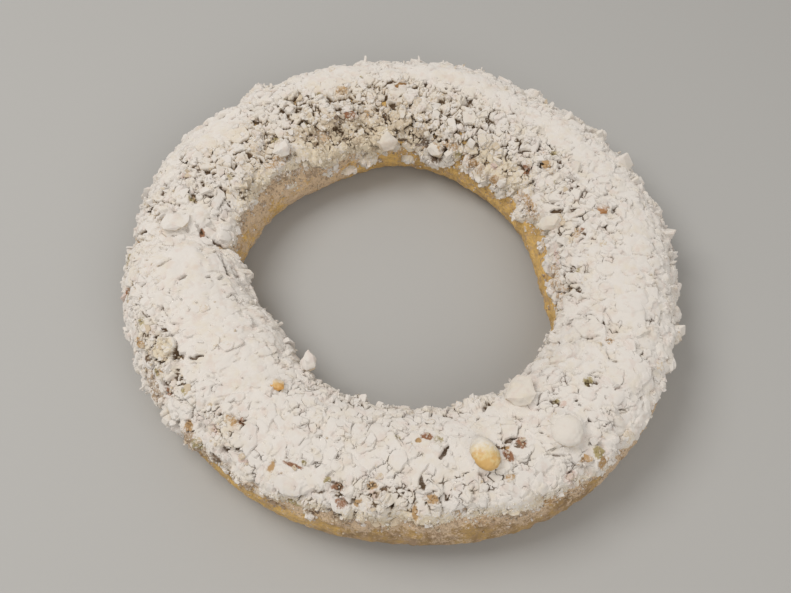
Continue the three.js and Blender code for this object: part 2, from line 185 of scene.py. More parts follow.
CREVICES = [  # gaps and deep cracks, from one angle and turn to another: the width and depth in mm
    (172, 44, 173.5, 70, 2.6, 3.5), (184.3, 21, 183, 9, 1.7, 1.8), (176, 21, 178, 10, 0.8, 1.1),
    (187.3, 42, 186.5, 38, 1.6, 1.8), (189, 3, 187.8, -7, 1.7, 1.8), (189.3, -23, 188.8, -27, 2.0, 1.9),
    (192, 16, 192.5, 12, 1.0, 1.0), (181, -43, 188, -42, 1.8, 2.0), (174, -37, 175.2, -48, 3.4, 3.2),
    (171, -16, 173, -27, 2.2, 2.0), (171.5, -4, 173.5, -7, 1.6, 1.2), (165.5, 20, 166.5, 15, 1.4, 1.5),
    (167.2, 5, 167, -2, 1.2, 1.4), (156.5, -10, 155.5, -16, 1.4, 1.6), (157, -2, 158, -6, 2.0, 1.8),
    (159.5, -33, 160.5, -39, 1.8, 1.8), (165.5, -37, 166.3, -43, 1.5, 1.6), (162, 2, 163.5, -4, 2.2, 1.4),
    (151, -54, 152.5, -57, 2.6, 2.0), (190, -49, 191, -58, 1.6, 1.6), (198, 44, 197.8, 40, 1.2, 1.4),
    (199.5, 39, 200, 35, 1.2, 1.4), (201.3, 42, 201.8, 36, 1.4, 1.6), (190, 55, 191, 57, 1.6, 1.6),
    (185, 62, 186, 66, 2.0, 1.8), (180, 55, 180.5, 60, 1.6, 1.6), (202, 55, 204, 45, 0.9, 1.4),
    (202.5, 64, 204, 60, 2.4, 2.0), (210.3, 26, 212, 16, 2.0, 2.6), (218.3, 9, 218, 5, 1.0, 1.0),
    (218.3, -7, 218.7, -14, 0.9, 1.0), (219, 31, 219.2, 27, 1.2, 1.2), (214.3, 46, 214.8, 42, 1.2, 1.4),
    (211, 72, 213, 58, 1.6, 1.6), (227, 37, 226.5, 32, 1.2, 1.2), (230.5, 27, 231.5, 22, 2.2, 2.0),
    (222, 67, 223, 62, 2.2, 2.4), (230.3, 12, 230, 5, 1.2, 1.4), (231, 2, 232, -3, 1.0, 1.2),
    (232.5, -22, 233.3, -24, 2.2, 2.4), (240, -19, 240.5, -22, 1.2, 1.4), (244, -6, 244.7, -10, 0.9, 1.2),
    (246, 9, 246.3, 3, 0.9, 1.2), (240.5, 55, 241.5, 59, 2.0, 2.0), (249.3, 54, 249.7, 49, 0.8, 1.2),
    (252, 63, 254.3, 65, 3.6, 3.0), (255.5, 60, 258.3, 55, 3.2, 3.0), (255.5, 33, 258, 35, 2.2, 2.4),
    (257, 43, 259.3, 47, 2.4, 1.6), (254.5, 29, 255.3, 24, 1.2, 1.8), (263, 28, 263.5, 30, 1.6, 1.4),
    (266, 29, 266.8, 31, 1.6, 1.4), (256, -36, 257.3, -34, 1.0, 1.4), (263.3, 59, 264.3, 55, 1.2, 1.8),
    (281.3, -9, 278.8, 1, 1.8, 2.4), (276.5, 6, 274.3, 15, 0.9, 1.4), (274, 17, 274.6, 26, 2.2, 2.2),
    (271.5, 30, 272, 35, 1.4, 1.6), (273, 34, 277.3, 31, 1.1, 1.5), (279, 33, 279.3, 37, 1.6, 1.6),
    (272.3, 42, 273.3, 40, 1.2, 1.8), (270.4, 53, 271, 56, 1.2, 1.6), (283.3, 41, 284.6, 38, 1.2, 1.6),
    (281.3, 47, 282.6, 45, 1.0, 1.4), (282, -20, 284, -21, 1.2, 1.4), (290.6, -35, 292.3, -37, 1.4, 1.6),
    (281.5, -37, 281.8, -33, 2.4, 1.2), (274, -17, 277, -24, 2.0, 1.2), (291, 4, 291.3, 12, 2.0, 1.6),
    (292, -3, 292.5, 0, 1.6, 2.0), (295.5, -4, 298, -5, 2.2, 3.0), (310.7, -17, 311.3, -12, 2.6, 3.0),
    (307, -22, 310, -27, 1.2, 1.8), (312, -20, 313.3, -19, 1.0, 1.4), (315, -2, 315.2, 0, 1.8, 2.0),
    (320, -3, 321, 1, 3.0, 3.0), (319.5, 14, 319.3, 17, 2.0, 1.6), (303.3, 0, 303.7, 3, 1.3, 1.8),
    (304, 9, 307, 13, 0.8, 1.2), (310.3, 5, 311.3, 12, 1.2, 1.6), (313.5, 18, 313.8, 21, 1.6, 2.0),
    (317.3, 21, 317, 26, 1.0, 1.4), (314.7, 31, 316, 33, 1.2, 1.6), (310.2, 36, 311, 38, 1.8, 1.8),
    (301, 21, 305.5, 34, 1.0, 1.6), (297.8, 21, 299, 20, 0.8, 1.0), (293, 26, 294.3, 27, 1.0, 1.2),
    (320, 32, 321, 38, 1.0, 1.6), (322.5, 20, 323.5, 22, 1.4, 1.6), (330, -38, 333.5, -17, 1.4, 2.0),
    (339, -33, 339.3, -22, 0.8, 1.2), (338.7, -16, 338.3, -14, 1.6, 2.0), (344.3, -19, 345, -14, 1.0, 1.4),
    (354, 4, 353, 13, 0.7, 1.0), (350.6, 14, 350, 23, 0.9, 1.2), (349.5, 57, 349, 70, 1.2, 1.8),
    (333.3, -9, 334, -4, 1.6, 1.6), (328.3, 5, 328.8, 8, 2.0, 1.6), (328.6, 23, 328.3, 25, 1.4, 1.4),
    (328, -52, 330.5, -58, 1.6, 1.2), (327.5, 17, 323.3, 22, 0.7, 1.2), (348.3, -50, 349, -46, 2.2, 2.2),
    (355, -43, 356, -40, 2.2, 2.0), (359.6, 20, 359.4, 37, 1.1, 1.4), (4.3, -29, 3.8, -24, 1.0, 1.4),
    (2, -52, 0.7, -47, 1.0, 1.6), (9, -28, 9.2, -26, 1.6, 1.6), (11.3, -53, 11.7, -51, 1.6, 1.8),
    (13.9, -27, 14.2, -23, 1.8, 1.8), (20.5, -47, 19, -38, 2.6, 2.8), (24, -34, 24.3, -31, 1.8, 2.2),
    (24.6, -23, 24.7, -18, 1.2, 1.8), (24.4, -11, 24.6, -8, 1.2, 1.4), (27, -42, 31, -38, 0.7, 1.0),
    (12.6, 16, 12, 19, 1.4, 1.6), (35.8, 14, 36.2, 19, 0.8, 1.2), (30.3, 26, 29, 16, 0.9, 1.2),
    (36.5, -6, 39, -8, 1.4, 1.8), (39.5, -33, 35, -30, 1.3, 1.8), (33, -20, 32.8, -15, 1.2, 1.6),
    (41.5, -46, 39, -40, 2.0, 1.6), (50.3, 0, 48.5, 5, 0.9, 1.6), (56, 7, 55.5, 9, 1.6, 1.8),
    (48, -7, 46.8, -12, 1.0, 1.6), (50, -26, 47.5, -18, 0.9, 1.6), (60.3, -18, 55.5, -22, 0.9, 1.3),
    (65.2, -10, 64.8, -8, 1.6, 1.6), (65, -34, 60.5, -28, 1.1, 1.6), (69.8, -45, 68, -44, 2.2, 2.6),
    (68, -52, 66.5, -54, 1.6, 1.8), (71.7, -68, 70.7, -63, 3.0, 3.0), (77.3, -59, 76.3, -56, 2.4, 2.6),
    (76, -75, 73.5, -70, 4.0, 3.0), (74, -23, 72, -19, 1.1, 1.8), (75.3, 1, 71, -1, 1.4, 1.8),
    (79, -8, 75.5, -5, 1.6, 1.4), (80, -40, 75.5, -39, 1.0, 1.6), (43.3, 4, 39.3, -3, 1.4, 1.6),
    (86.3, -4, 84.8, -1, 1.8, 2.0), (90.3, -16, 85, -15, 1.3, 2.0), (97.3, 1, 95.8, -4, 1.6, 2.0),
    (100.7, 19, 100.2, 14, 1.6, 1.8), (105.8, 13, 105.2, 10, 2.0, 2.0), (119.3, 3, 112.5, 9, 1.5, 2.2),
    (125.7, -17, 124, -14, 1.8, 2.4), (122, -22, 120.7, -26, 3.0, 2.2), (121.5, -32, 120.7, -35, 1.8, 2.0),
    (131.5, -22, 130, -29, 3.0, 2.2), (109.3, -21, 107.8, -25, 2.6, 2.6), (112.5, -31, 111.5, -35, 1.4, 1.6),
    (113.3, -44, 111, -48, 5.0, 4.0), (117.8, -42, 116, -50, 4.6, 3.8), (122, -40, 119.5, -45, 2.4, 2.0),
    (105, -26, 104, -33, 2.2, 1.8), (103, -21, 101, -22, 1.4, 1.8), (98.6, -30, 97, -31, 1.8, 2.2),
    (95.3, -33, 94.7, -49, 2.2, 2.8), (86.7, -54, 86.3, -58, 1.6, 2.2), (78.2, -63, 77.7, -61, 2.0, 2.2),
    (74, -66, 73, -64, 2.6, 2.4), (92.5, -62, 86, -70, 4.5, 2.6), (111, -56, 109, -60, 3.6, 2.4),
    (135, -50, 131.5, -49, 1.4, 1.8), (124.3, 38, 122, 44, 1.6, 1.8), (120, 14, 118.5, 16, 1.0, 1.4),
    (128.3, 51, 125.5, 53, 1.0, 1.8), (136, 31, 135, 33, 1.4, 1.6), (145.3, -12, 141.5, -17, 1.4, 2.4),
    (134.7, -26, 130.5, -24, 2.6, 1.8), (137.3, -30, 135.5, -28, 1.4, 1.6), (149.3, 1, 148.7, -3, 1.3, 1.4),
    (157.5, 25, 157.3, 13, 1.8, 2.0), (156.7, 8, 155.3, 2, 1.4, 1.8), (157.3, -16, 156.8, -21, 1.2, 1.8),
    (151.5, -29, 150, -36, 1.4, 1.4), (160.5, 42, 160, 33, 0.8, 1.4),
]
STAINS = [  # where the nuts or the caramel show through thin sugar: in which colour, and how strongly
    (112, -40, 16, 7, "umber", 0.6), (106, -36, 9, 5, "rust", 0.65), (121, -42, 12, 6, "umber", 0.5),
    (84, -52, 22, 6, "umber", 0.45), (70, -58, 14, 6, "tan", 0.5), (96, -62, 16, 5, "rust", 0.4),
    (108, -60, 120, 28, "cream", 0.7), (100, -48, 60, 12, "tan", 0.42), (82, -64, 40, 10, "tan", 0.45),
    (122, -58, 36, 10, "olive", 0.4), (136, -46, 30, 9, "tan", 0.4), (50, -56, 70, 20, "cream", 0.5),
    (274, 60, 150, 16, "cream", 0.5), (278, 68, 140, 8, "biscuit", 0.42), (150, -52, 40, 20, "cream", 0.5),
    (172.3, -22, 5, 3, "rust", 0.9), (163, -1, 5, 4, "olive", 0.7), (152, -26, 6, 4, "olive", 0.4),
    (173, 66, 4, 8, "tan", 0.6), (178, 70, 10, 6, "olive", 0.6), (185.5, 66, 4, 4, "rust", 0.7),
    (186, 76, 5, 4, "rose", 0.9), (196.5, 46, 8, 5, "olive", 0.6), (200, 58, 6, 5, "tan", 0.8),
    (203, 62, 7, 5, "umber", 0.8), (205, 42, 16, 12, "cream", 0.6), (207, 62, 5, 5, "olive", 0.9),
    (208.7, 55, 4, 8, "tan", 1.0), (212.5, 60, 5, 4, "rust", 0.7), (216, 44, 5, 4, "olive", 0.7),
    (221.5, 62, 7, 5, "tan", 1.0), (229.7, 28, 8, 5, "tan", 0.5), (231.2, 24, 3.5, 3, "rust", 0.9),
    (228, 43, 8, 6, "rose", 0.6), (236, 46, 8, 4, "rose", 0.6), (231, 61, 10, 7, "umber", 0.6),
    (226, 66, 8, 8, "olive", 0.9), (242.3, 38, 4, 5, "tan", 0.8), (246.5, 29, 11, 2.0, "rust", 0.9),
    (248.5, 23, 3, 3.5, "olive", 0.7), (248.5, 64, 10, 6, "olive", 0.8), (253.2, 64, 8, 6, "umber", 0.9),
    (254.5, 31, 3, 3, "olive", 0.7), (256.8, 34, 7, 4, "rust", 0.9), (258.2, 45, 7, 5, "rust", 0.6),
    (257, 57, 8, 5, "umber", 0.9), (261.3, 44, 5, 4, "tan", 0.8), (264, 28, 5, 4, "tan", 0.8),
    (266.5, 30, 3, 2.5, "umber", 0.7), (264.5, 35, 4, 4, "rose", 0.6), (261.5, 62, 6, 3, "rose", 0.8),
    (268, 66, 9, 5, "olive", 0.7), (272.8, 48, 3.5, 9, "tan", 1.0), (276, 36, 6, 4, "tan", 0.9),
    (276.4, -21, 6, 4.5, "rust", 1.2), (274.4, -16.5, 4, 3, "tan", 0.9), (269, -19, 4, 3, "olive", 0.4),
    (279.5, -15, 4.5, 4, "olive", 0.5), (294, 9, 5, 6, "rust", 1.3), (296.8, 3, 3, 3, "umber", 1.0),
    (294.3, 1, 5, 3, "tan", 1.0), (292.3, -2, 3, 3, "umber", 0.8), (298, 1.5, 5.5, 6, "rust", 1.0),
    (292.7, 28, 6, 2.5, "tan", 0.5), (311, 45, 6, 6, "olive", 1.1), (310.5, 53, 6, 5, "tan", 0.8),
    (307.5, 43, 7, 2.0, "tan", 0.7), (304, 50, 9, 6, "rose", 0.5), (299, 62, 12, 5, "tan", 0.7),
    (311, -14, 5, 4, "olive", 0.8), (311.8, -7, 5, 3, "rose", 0.6), (320.5, -4, 6, 5, "olive", 0.8),
    (333.3, -6, 4, 5, "tan", 0.7), (355, -36, 5, 5, "olive", 0.4), (349, -48, 4, 4, "tan", 0.6),
    (2, -54, 16, 5, "rose", 0.5), (8.7, -32, 8, 8, "tan", 0.35), (9, -27, 3, 2.5, "rust", 0.6),
    (17, -64, 5, 5, "tan", 0.7), (36.2, -24.5, 9, 4, "tan", 1.0), (40, -43, 7, 5, "rust", 0.9),
    (38, -8, 4, 4, "olive", 0.5), (30, -28, 4, 3, "olive", 0.4), (51, -58, 10, 7, "rose", 0.6),
    (47, -66, 8, 6, "tan", 0.6), (58, -62, 10, 8, "tan", 0.4), (66, -64, 10, 6, "olive", 0.5),
    (74.7, -73, 10, 7, "umber", 1.0), (72, -63, 4, 5, "umber", 0.8), (89.5, -66, 14, 8, "umber", 0.8),
    (101.5, -34, 4.5, 4, "tan", 1.0), (100.5, 17, 3, 4, "olive", 0.6), (106.7, 2, 6, 5, "tan", 1.1),
    (113.3, 9, 5, 4, "olive", 0.8), (104, -58, 16, 12, "tan", 0.5), (110.3, -42, 6, 4, "rust", 0.6),
    (110, -58, 8, 6, "umber", 0.7), (108, -74, 14, 8, "umber", 0.5), (115, -48, 12, 8, "umber", 0.6),
    (121, -42, 6, 4, "rose", 0.8), (121.5, -24, 5, 5, "olive", 0.9), (132, -25, 9, 4.5, "olive", 0.9),
    (124, -66, 14, 9, "olive", 0.3), (133, -48, 9, 3, "umber", 0.5), (122, 21, 4, 3, "olive", 0.5),
    (157, 18, 5, 7, "rose", 0.6), (102, -54, 64, 14, "tan", 0.5), (84, -62, 34, 12, "umber", 0.55),
    (60, -64, 30, 9, "tan", 0.5), (126, -56, 34, 12, "tan", 0.45), (30, -62, 34, 8, "tan", 0.4),
    (352, -58, 34, 8, "tan", 0.35), (226, 74, 30, 14, "biscuit", 0.8), (242, 72, 40, 14, "biscuit", 0.8),
    (258, 68, 40, 12, "biscuit", 0.9), (274, 66, 40, 12, "biscuit", 0.9), (290, 68, 34, 12, "biscuit", 0.8),
    (304, 74, 24, 10, "biscuit", 0.6), (140, -66, 60, 12, "biscuit", 0.6),
    (160, -60, 30, 10, "biscuit", 0.5), (208, 74, 30, 10, "biscuit", 0.5),
]
DRAWN_BACK = [  # where the crust's edge draws back or thins out over the dough: how far in mm
    (238, 70, 40, 20, 1.0), (330, 84, 60, 22, 5.0),
]
THIN = [  # stretches where the sugar is thin enough for the nuts to show through: how thin
    (100, -30, 140, 44, 0.3), (108, 16, 110, 36, 0.24), (142, 0, 60, 60, 0.3), (178, 52, 70, 44, 0.33),
    (60, -24, 60, 40, 0.2), (262, 52, 90, 24, 0.2),
]
POWDERY = [  # even and powdery stretches, with no cracks and nothing jutting out: how much so
    (328, 76, 90, 40, 1.0), (239, 11, 10, 9, 1.0),
]
JUTTING = [  # pieces that jut out of the crust's edges: length, width, thickness, and the lean off the level
    (207, 76, 9, 6, 2.6, 8), (206, 70, 5, 4, 2.0, 30), (212, 78, 6.5, 5, 2.4, 10),
    (214.5, 78, 5.5, 4, 2.2, 12), (219, 76, 5, 4, 2.2, 15), (202.5, 74, 5, 4.5, 3.0, 12),
    (204, 78, 4, 4, 2.8, 15), (209, 79, 5, 4.5, 3.2, 8), (210.5, 80, 4, 4, 2.8, 10),
    (216, 80, 4.5, 4, 3.0, 8), (217.5, 78, 3.5, 3.5, 2.6, 20), (195, 77, 5, 4, 2.6, 10),
    (198.5, 78, 4, 3.6, 2.4, 15), (188.5, 76, 5, 3.6, 2.2, 12), (191.5, 76, 8, 5, 2.0, 5),
    (186, 74, 6, 4, 2.0, 15), (181, 72, 4, 3, 1.6, 25), (177, 74, 4, 3.5, 1.8, 20), (164, 68, 6, 4, 2.0, 20),
    (160, 68, 6, 4.5, 2.2, 22), (157, 64, 4, 3, 1.6, 30), (127, 54, 8, 5, 1.6, 12),
    (122, 56, 7, 3.5, 1.4, 12), (113, 56, 4.5, 2.0, 1.0, 50), (85.5, 55, 7.5, 2.2, 1.3, 50),
    (88, 54, 5, 3, 1.5, 30), (93, 54, 6, 4, 1.6, 20), (97, 54, 4, 3, 1.4, 25), (57, 55, 5, 3, 1.4, 30),
    (53.5, 57, 5.5, 3.5, 1.5, 20), (50.5, 56, 7.5, 5, 2.0, 15), (45, 57, 10, 8, 2.6, 8),
    (41.3, 58, 11, 8, 2.6, 5), (37, 60, 11, 6, 2.2, 4), (28.5, 62, 9, 9, 3.2, 20), (23, 64, 7, 6, 2.6, 25),
    (15, 74, 8, 3.6, 2.2, 8), (9.3, 74, 10, 7, 4.2, 6), (4, 70, 5, 6, 2.4, 30), (356, 74, 8, 6, 3.0, 12),
    (346, 74, 6, 6, 2.6, 25), (242, 68, 5, 3.5, 2.0, 20), (216, -70, 8, 4.5, 2.2, 4),
    (222, -62, 7, 4, 2.4, 35), (234.5, -70, 7.5, 5, 2.8, 10), (238, -66, 4.5, 3.5, 2.2, 30),
    (182, -68, 11, 7, 2.0, 0), (184, -70, 6, 4, 1.8, 0), (190, -66, 5, 3.5, 1.8, 10),
    (196, -66, 4, 3, 1.6, 20), (252, -60, 5, 4, 2.4, 30), (255.5, -62, 6.5, 5.5, 3.0, 30),
    (262, -62, 5.5, 4.5, 2.6, 30), (267, -60, 4, 3, 2.2, 35), (273, -58, 4, 3, 2.2, 35),
    (279, -58, 6.5, 4.5, 2.6, 35), (283, -57, 5, 3.6, 2.4, 35), (289, -56, 7, 3.6, 2.6, 40),
    (292.5, -54, 5, 4, 2.6, 30), (32, -74, 7, 4, 2.4, 30), (29.5, -72, 5, 3.5, 2.2, 20),
    (43, -64, 6, 4.5, 2.4, 30), (48, -66, 5, 4, 2.2, 25), (55, -66, 5, 4, 2.2, 30),
    (62, -66, 6, 4.5, 2.4, 30), (70, -70, 6, 4.5, 2.6, 25), (79, -72, 6, 5, 2.6, 20),
    (87, -72, 8, 5, 2.8, 20), (92, -73, 7, 5, 2.6, 18), (98, -70, 7, 6, 2.8, 20), (107, -74, 7, 5, 2.8, 15),
    (118, -72, 6, 4, 2.4, 20), (126.5, -76, 8, 4.5, 2.6, 20), (129, -74, 5, 3.5, 2.2, 20),
    (344, -58, 5, 4, 2.2, 20), (351, -58, 5, 4, 2.2, 20), (358, -60, 6, 5, 2.4, 20), (5, -60, 5, 4, 2.2, 20),
    (12, -62, 5, 4, 2.4, 20),
]
CLUMPS = [  # where the crust runs on over the dough's flank: how far, in millimetres
    (78, -84, 16, 12, 9), (87, -92, 10, 10, 8), (103, -86, 12, 12, 9), (112, -94, 14, 9, 9),
    (120, -84, 12, 8, 7), (126, -96, 8, 7, 9), (138, -80, 14, 8, 5), (150, -78, 16, 8, 4),
    (71, -76, 8, 8, 6), (55, -78, 12, 6, 5), (45, -76, 10, 6, 5), (30, -80, 9, 8, 6), (12, -74, 9, 6, 5),
    (3, -70, 12, 6, 5), (352, -68, 10, 6, 4), (244, 76, 16, 6, 4), (252, 72, 12, 6, 4), (304, 74, 18, 6, 3),
    (217, 84, 10, 6, 3),
]
FLOURED = [  # dusty dough: the angle, the side (1 outer, -1 inner), the half-length in degrees, how dusty
    (328, 1, 24, 1.5), (140, -1, 38, 1.1), (280, 1, 46, 0.5), (60, 1, 70, 0.7), (172, 1, 34, 0.4),
    (85, -1, 30, 0.1),
]

# ---------------------------------------------------------------- settings


def length(name, description, default):
    return FloatProperty(name=name, description=description, default=default, unit="LENGTH", precision=5)


def colour(name, description, default):
    return FloatVectorProperty(
        name=name, description=description, default=default, size=3, min=0.0, max=1.0, subtype="COLOR"
    )


class WreathDoughSettings(bpy.types.PropertyGroup):
    swell: length("Swell", "How far the baked dough's surface swells and sinks", 0.5 * MM)
    wrinkle: length("Wrinkle", "How deep the fine wrinkles of the skin are", 0.5 * MM)
    lumps: length("Lumps", "How lumpy the bare dough beside the crust is", 0.9 * MM)
    golden: colour("Golden", "Baked dough where the skin is thin", (0.88, 0.57, 0.185))
    brown: colour("Brown", "Baked dough where the skin has browned", (0.32, 0.20, 0.095))
    blush: colour("Blush", "Rosy patches of the baked skin", (0.56, 0.39, 0.27))
    flour: colour("Flour", "Flour and sugar dust on the dough", (0.78, 0.60, 0.43))


class WreathCrustSettings(bpy.types.PropertyGroup):
    plate: length("Plate", "Usual length of a broken nut plate in the crust", 6.5 * MM)
    plates: IntProperty(name="Plates", description="Number of plates pressed into the crust", default=4200)
    block: length("Block", "Usual length of a thick block in the broken stretches", 6.6 * MM)
    blocks: IntProperty(name="Blocks", description="Number of thick blocks", default=1500)
    sheet: length("Sheet", "Usual length of a flat sheet of caked sugar", 9.5 * MM)
    sheets: IntProperty(name="Sheets", description="Number of sheets of caked sugar", default=900)
    flake: length("Flake", "Usual length of a flake on top", 4.6 * MM)
    flakes: IntProperty(name="Flakes", description="Number of flakes on top", default=2200)
    sugar: colour("Sugar", "Powdered sugar", (0.785, 0.748, 0.712))
    cream: colour("Cream", "Chopped nuts under a thin dust", (0.74, 0.65, 0.50))
    nut: colour("Nut", "Bare chopped nut", (0.66, 0.56, 0.43))
    tan: colour("Tan", "Lightly toasted nut", (0.50, 0.31, 0.13))
    olive: colour("Olive", "Oily nut paste in the gaps", (0.42, 0.34, 0.15))
    rust: colour("Rust", "Caramel and burnt nut skin", (0.30, 0.12, 0.04))
    umber: colour("Umber", "Dark baked dough between the nuts", (0.16, 0.09, 0.04))
    biscuit: colour("Biscuit", "Crumbly baked dough where the crust thins out", (0.42, 0.30, 0.19))
    rose: colour("Rose", "Rosy nut skin under the dust", (0.70, 0.56, 0.50))
    # The gaps' colour: undusted nut and dough, also used as painted shade deep in the gaps.
    shade: colour("Hollow", "Undusted nut and dough deep in the gaps", (0.15, 0.095, 0.055))


class WreathPiecesSettings(bpy.types.PropertyGroup):
    slabs: IntProperty(name="Slabs", description="Number of large broken plates on the crust", default=420)
    splinters: IntProperty(name="Splinters", description="Number of thin pieces that jut out", default=220)
    splinter: length("Splinter length", "Usual length of a splinter", 3.4 * MM)
    shards: IntProperty(name="Shards", description="Number of middling broken pieces", default=950)
    crumbs: IntProperty(name="Crumbs", description="Number of crumbs", default=6000)
    slab: length("Slab length", "Usual length of a large plate", 4.8 * MM)
    shard: length("Shard length", "Usual length of a middling piece", 2.8 * MM)
    crumb: length("Crumb length", "Usual length of a crumb", 1.0 * MM)
    kernel: colour("Kernel", "Bare nut kernel", (0.74, 0.58, 0.30))
    gold: colour("Gold", "Lightly toasted chip", (0.70, 0.47, 0.20))
    amber: colour("Amber", "Caramelised chip", (0.30, 0.16, 0.045))
    brown: colour("Brown", "Toasted skin", (0.42, 0.24, 0.11))


class WreathStageSettings(bpy.types.PropertyGroup):
    elevation: FloatProperty(
        name="Elevation",
        description="Camera's height over the horizon",
        default=math.radians(60),
        subtype="ANGLE",
    )
    distance: length("Distance", "From the camera to the wreath", 0.56)
    lens: FloatProperty(name="Lens", description="Focal length", default=50.0, unit="CAMERA")
    floor: colour("Floor", "The plain floor", (0.46, 0.455, 0.445))


# ---------------------------------------------------------------- unevenness and blurring

CELL_STEPS = np.array([127.1, 311.7, 74.7])  # with the next two, scrambles a cell's place into its value
SEED_STEP = 53.3
SCRAMBLE = 43758.5453


def smooth_share(value, low, high):
    """0 below low, 1 above high, and an even slope between."""
    part = np.clip((value - low) / (high - low), 0.0, 1.0)
    return part * part * (3.0 - 2.0 * part)


def cell_values(cells, seed):
    """A repeatable value from 0 to 1 for each cell of space."""
    mixed = np.sin(cells @ CELL_STEPS + seed * SEED_STEP) * SCRAMBLE
    return mixed - np.floor(mixed)


def noise(points, size, seed):
    """Smooth noise from -1 to 1 at an array of points, with swells about one size apart."""
    scaled = points / size
    low = np.floor(scaled)
    part = scaled - low
    part = part * part * (3.0 - 2.0 * part)
    total = np.zeros(points.shape[:-1])
    for corner in np.ndindex(2, 2, 2):
        corner = np.array(corner)
        weight = np.prod(np.where(corner, part, 1.0 - part), axis=-1)
        total += weight * cell_values(low + corner, seed)
    return 2.0 * total - 1.0


def layered(points, size, seed, layers=3):
    """Noise with finer noise on it, each layer half as large and half as strong."""
    return sum(noise(points, size / 2**k, seed + k) / 2**k for k in range(layers)) / 1.6


def uneven(points, name):
    """The named unevenness at an array of points."""
    strength, size, seed = UNEVENNESS[name]
    return strength * layered(points, size, seed)


def blurred(field, along, across):
    """The field blurred by so many cells. It is closed along the ring and mirrored at its two edges."""
    wide = np.concatenate([field, field[:, ::-1]], axis=1)
    keep_along = np.exp(-2.0 * (np.pi * along * np.fft.fftfreq(wide.shape[0])) ** 2)
    keep_across = np.exp(-2.0 * (np.pi * across * np.fft.rfftfreq(wide.shape[1])) ** 2)
    spectrum = np.fft.rfft2(wide) * keep_along[:, None] * keep_across[None, :]
    return np.fft.irfft2(spectrum, wide.shape)[:, : field.shape[1]]


def evened(edge):
    """A row of values round the ring with its small steps blurred away."""
    return blurred(np.repeat(edge[:, None], 2, axis=1), EVENED, 0)[:, 0]


def highest_near(field):
    """The highest value among each cell and its neighbours."""
    wide = np.pad(field, ((0, 0), (1, 1)), mode="edge")
    rows = np.maximum(np.maximum(wide[:, :-2], wide[:, 2:]), field)
    return np.maximum(np.maximum(np.roll(rows, 1, axis=0), np.roll(rows, -1, axis=0)), rows)


# ---------------------------------------------------------------- meshes


def read(items, field, width):
    """A field of many items of a mesh, as rows of so many numbers."""
    flat = np.empty(len(items) * width)
    items.foreach_get(field, flat)
    return flat.reshape(-1, width)


def coordinates(mesh):
    return read(mesh.vertices, "co", 3)


def normals(mesh):
    return read(mesh.vertex_normals, "vector", 3)


def set_coordinates(mesh, places):
    mesh.vertices.foreach_set("co", np.ascontiguousarray(places, dtype=np.float32).ravel())
    mesh.update()


def store(mesh, name, values):
    """Keeps a value for each point: a number, a direction or a colour with its strength."""
    width = values.shape[1] if values.ndim > 1 else 1
    kind, field = {1: ("FLOAT", "value"), 3: ("FLOAT_VECTOR", "vector"), 4: ("FLOAT_COLOR", "color")}[width]
    layer = mesh.attributes.new(name, kind, "POINT")
    layer.data.foreach_set(field, np.ascontiguousarray(values, dtype=np.float32).ravel())


def new_piece(name, mesh, material, slot, *replaced):
    """A finished piece of the wreath, riding on its one body."""
    piece = bpy.data.objects.new(name, mesh)
    bpy.context.scene.collection.objects.link(piece)
    mesh.materials.append(material)
    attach(piece, "root")
    if replaced:
        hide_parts(*replaced)
    return piece


def welded(node):
    """A CAD node as a bmesh, with its loose triangles joined up."""
    bm = bmesh.new()
    bm.from_mesh(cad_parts[node].data)
    bmesh.ops.remove_doubles(bm, verts=bm.verts, dist=WELD)
    return bm


def mesh_from(bm, name):
    mesh = bpy.data.meshes.new(name)
    bm.to_mesh(mesh)
    bm.free()
    mesh.shade_smooth()
    return mesh


def smoothed(node, name):
    """A CAD node paired into quads and rounded off by a Subdivision Surface modifier."""
    bm = welded(node)
    bmesh.ops.join_triangles(bm, faces=bm.faces, angle_face_threshold=math.pi, angle_shape_threshold=math.pi)
    mesh = mesh_from(bm, name)
    holder = bpy.data.objects.new("holder", mesh)
    bpy.context.scene.collection.objects.link(holder)
    surface = holder.modifiers.new("surface", "SUBSURF")
    surface.levels = surface.render_levels = SMOOTHED
    evaluated = holder.evaluated_get(bpy.context.evaluated_depsgraph_get())
    fine = bpy.data.meshes.new_from_object(evaluated)
    bpy.data.objects.remove(holder)
    bpy.data.meshes.remove(mesh)
    return fine


def tree_of(mesh):
    bm = bmesh.new()
    bm.from_mesh(mesh)
    tree = BVHTree.FromBMesh(bm)
    bm.free()
    return tree


# ---------------------------------------------------------------- the roll's surface


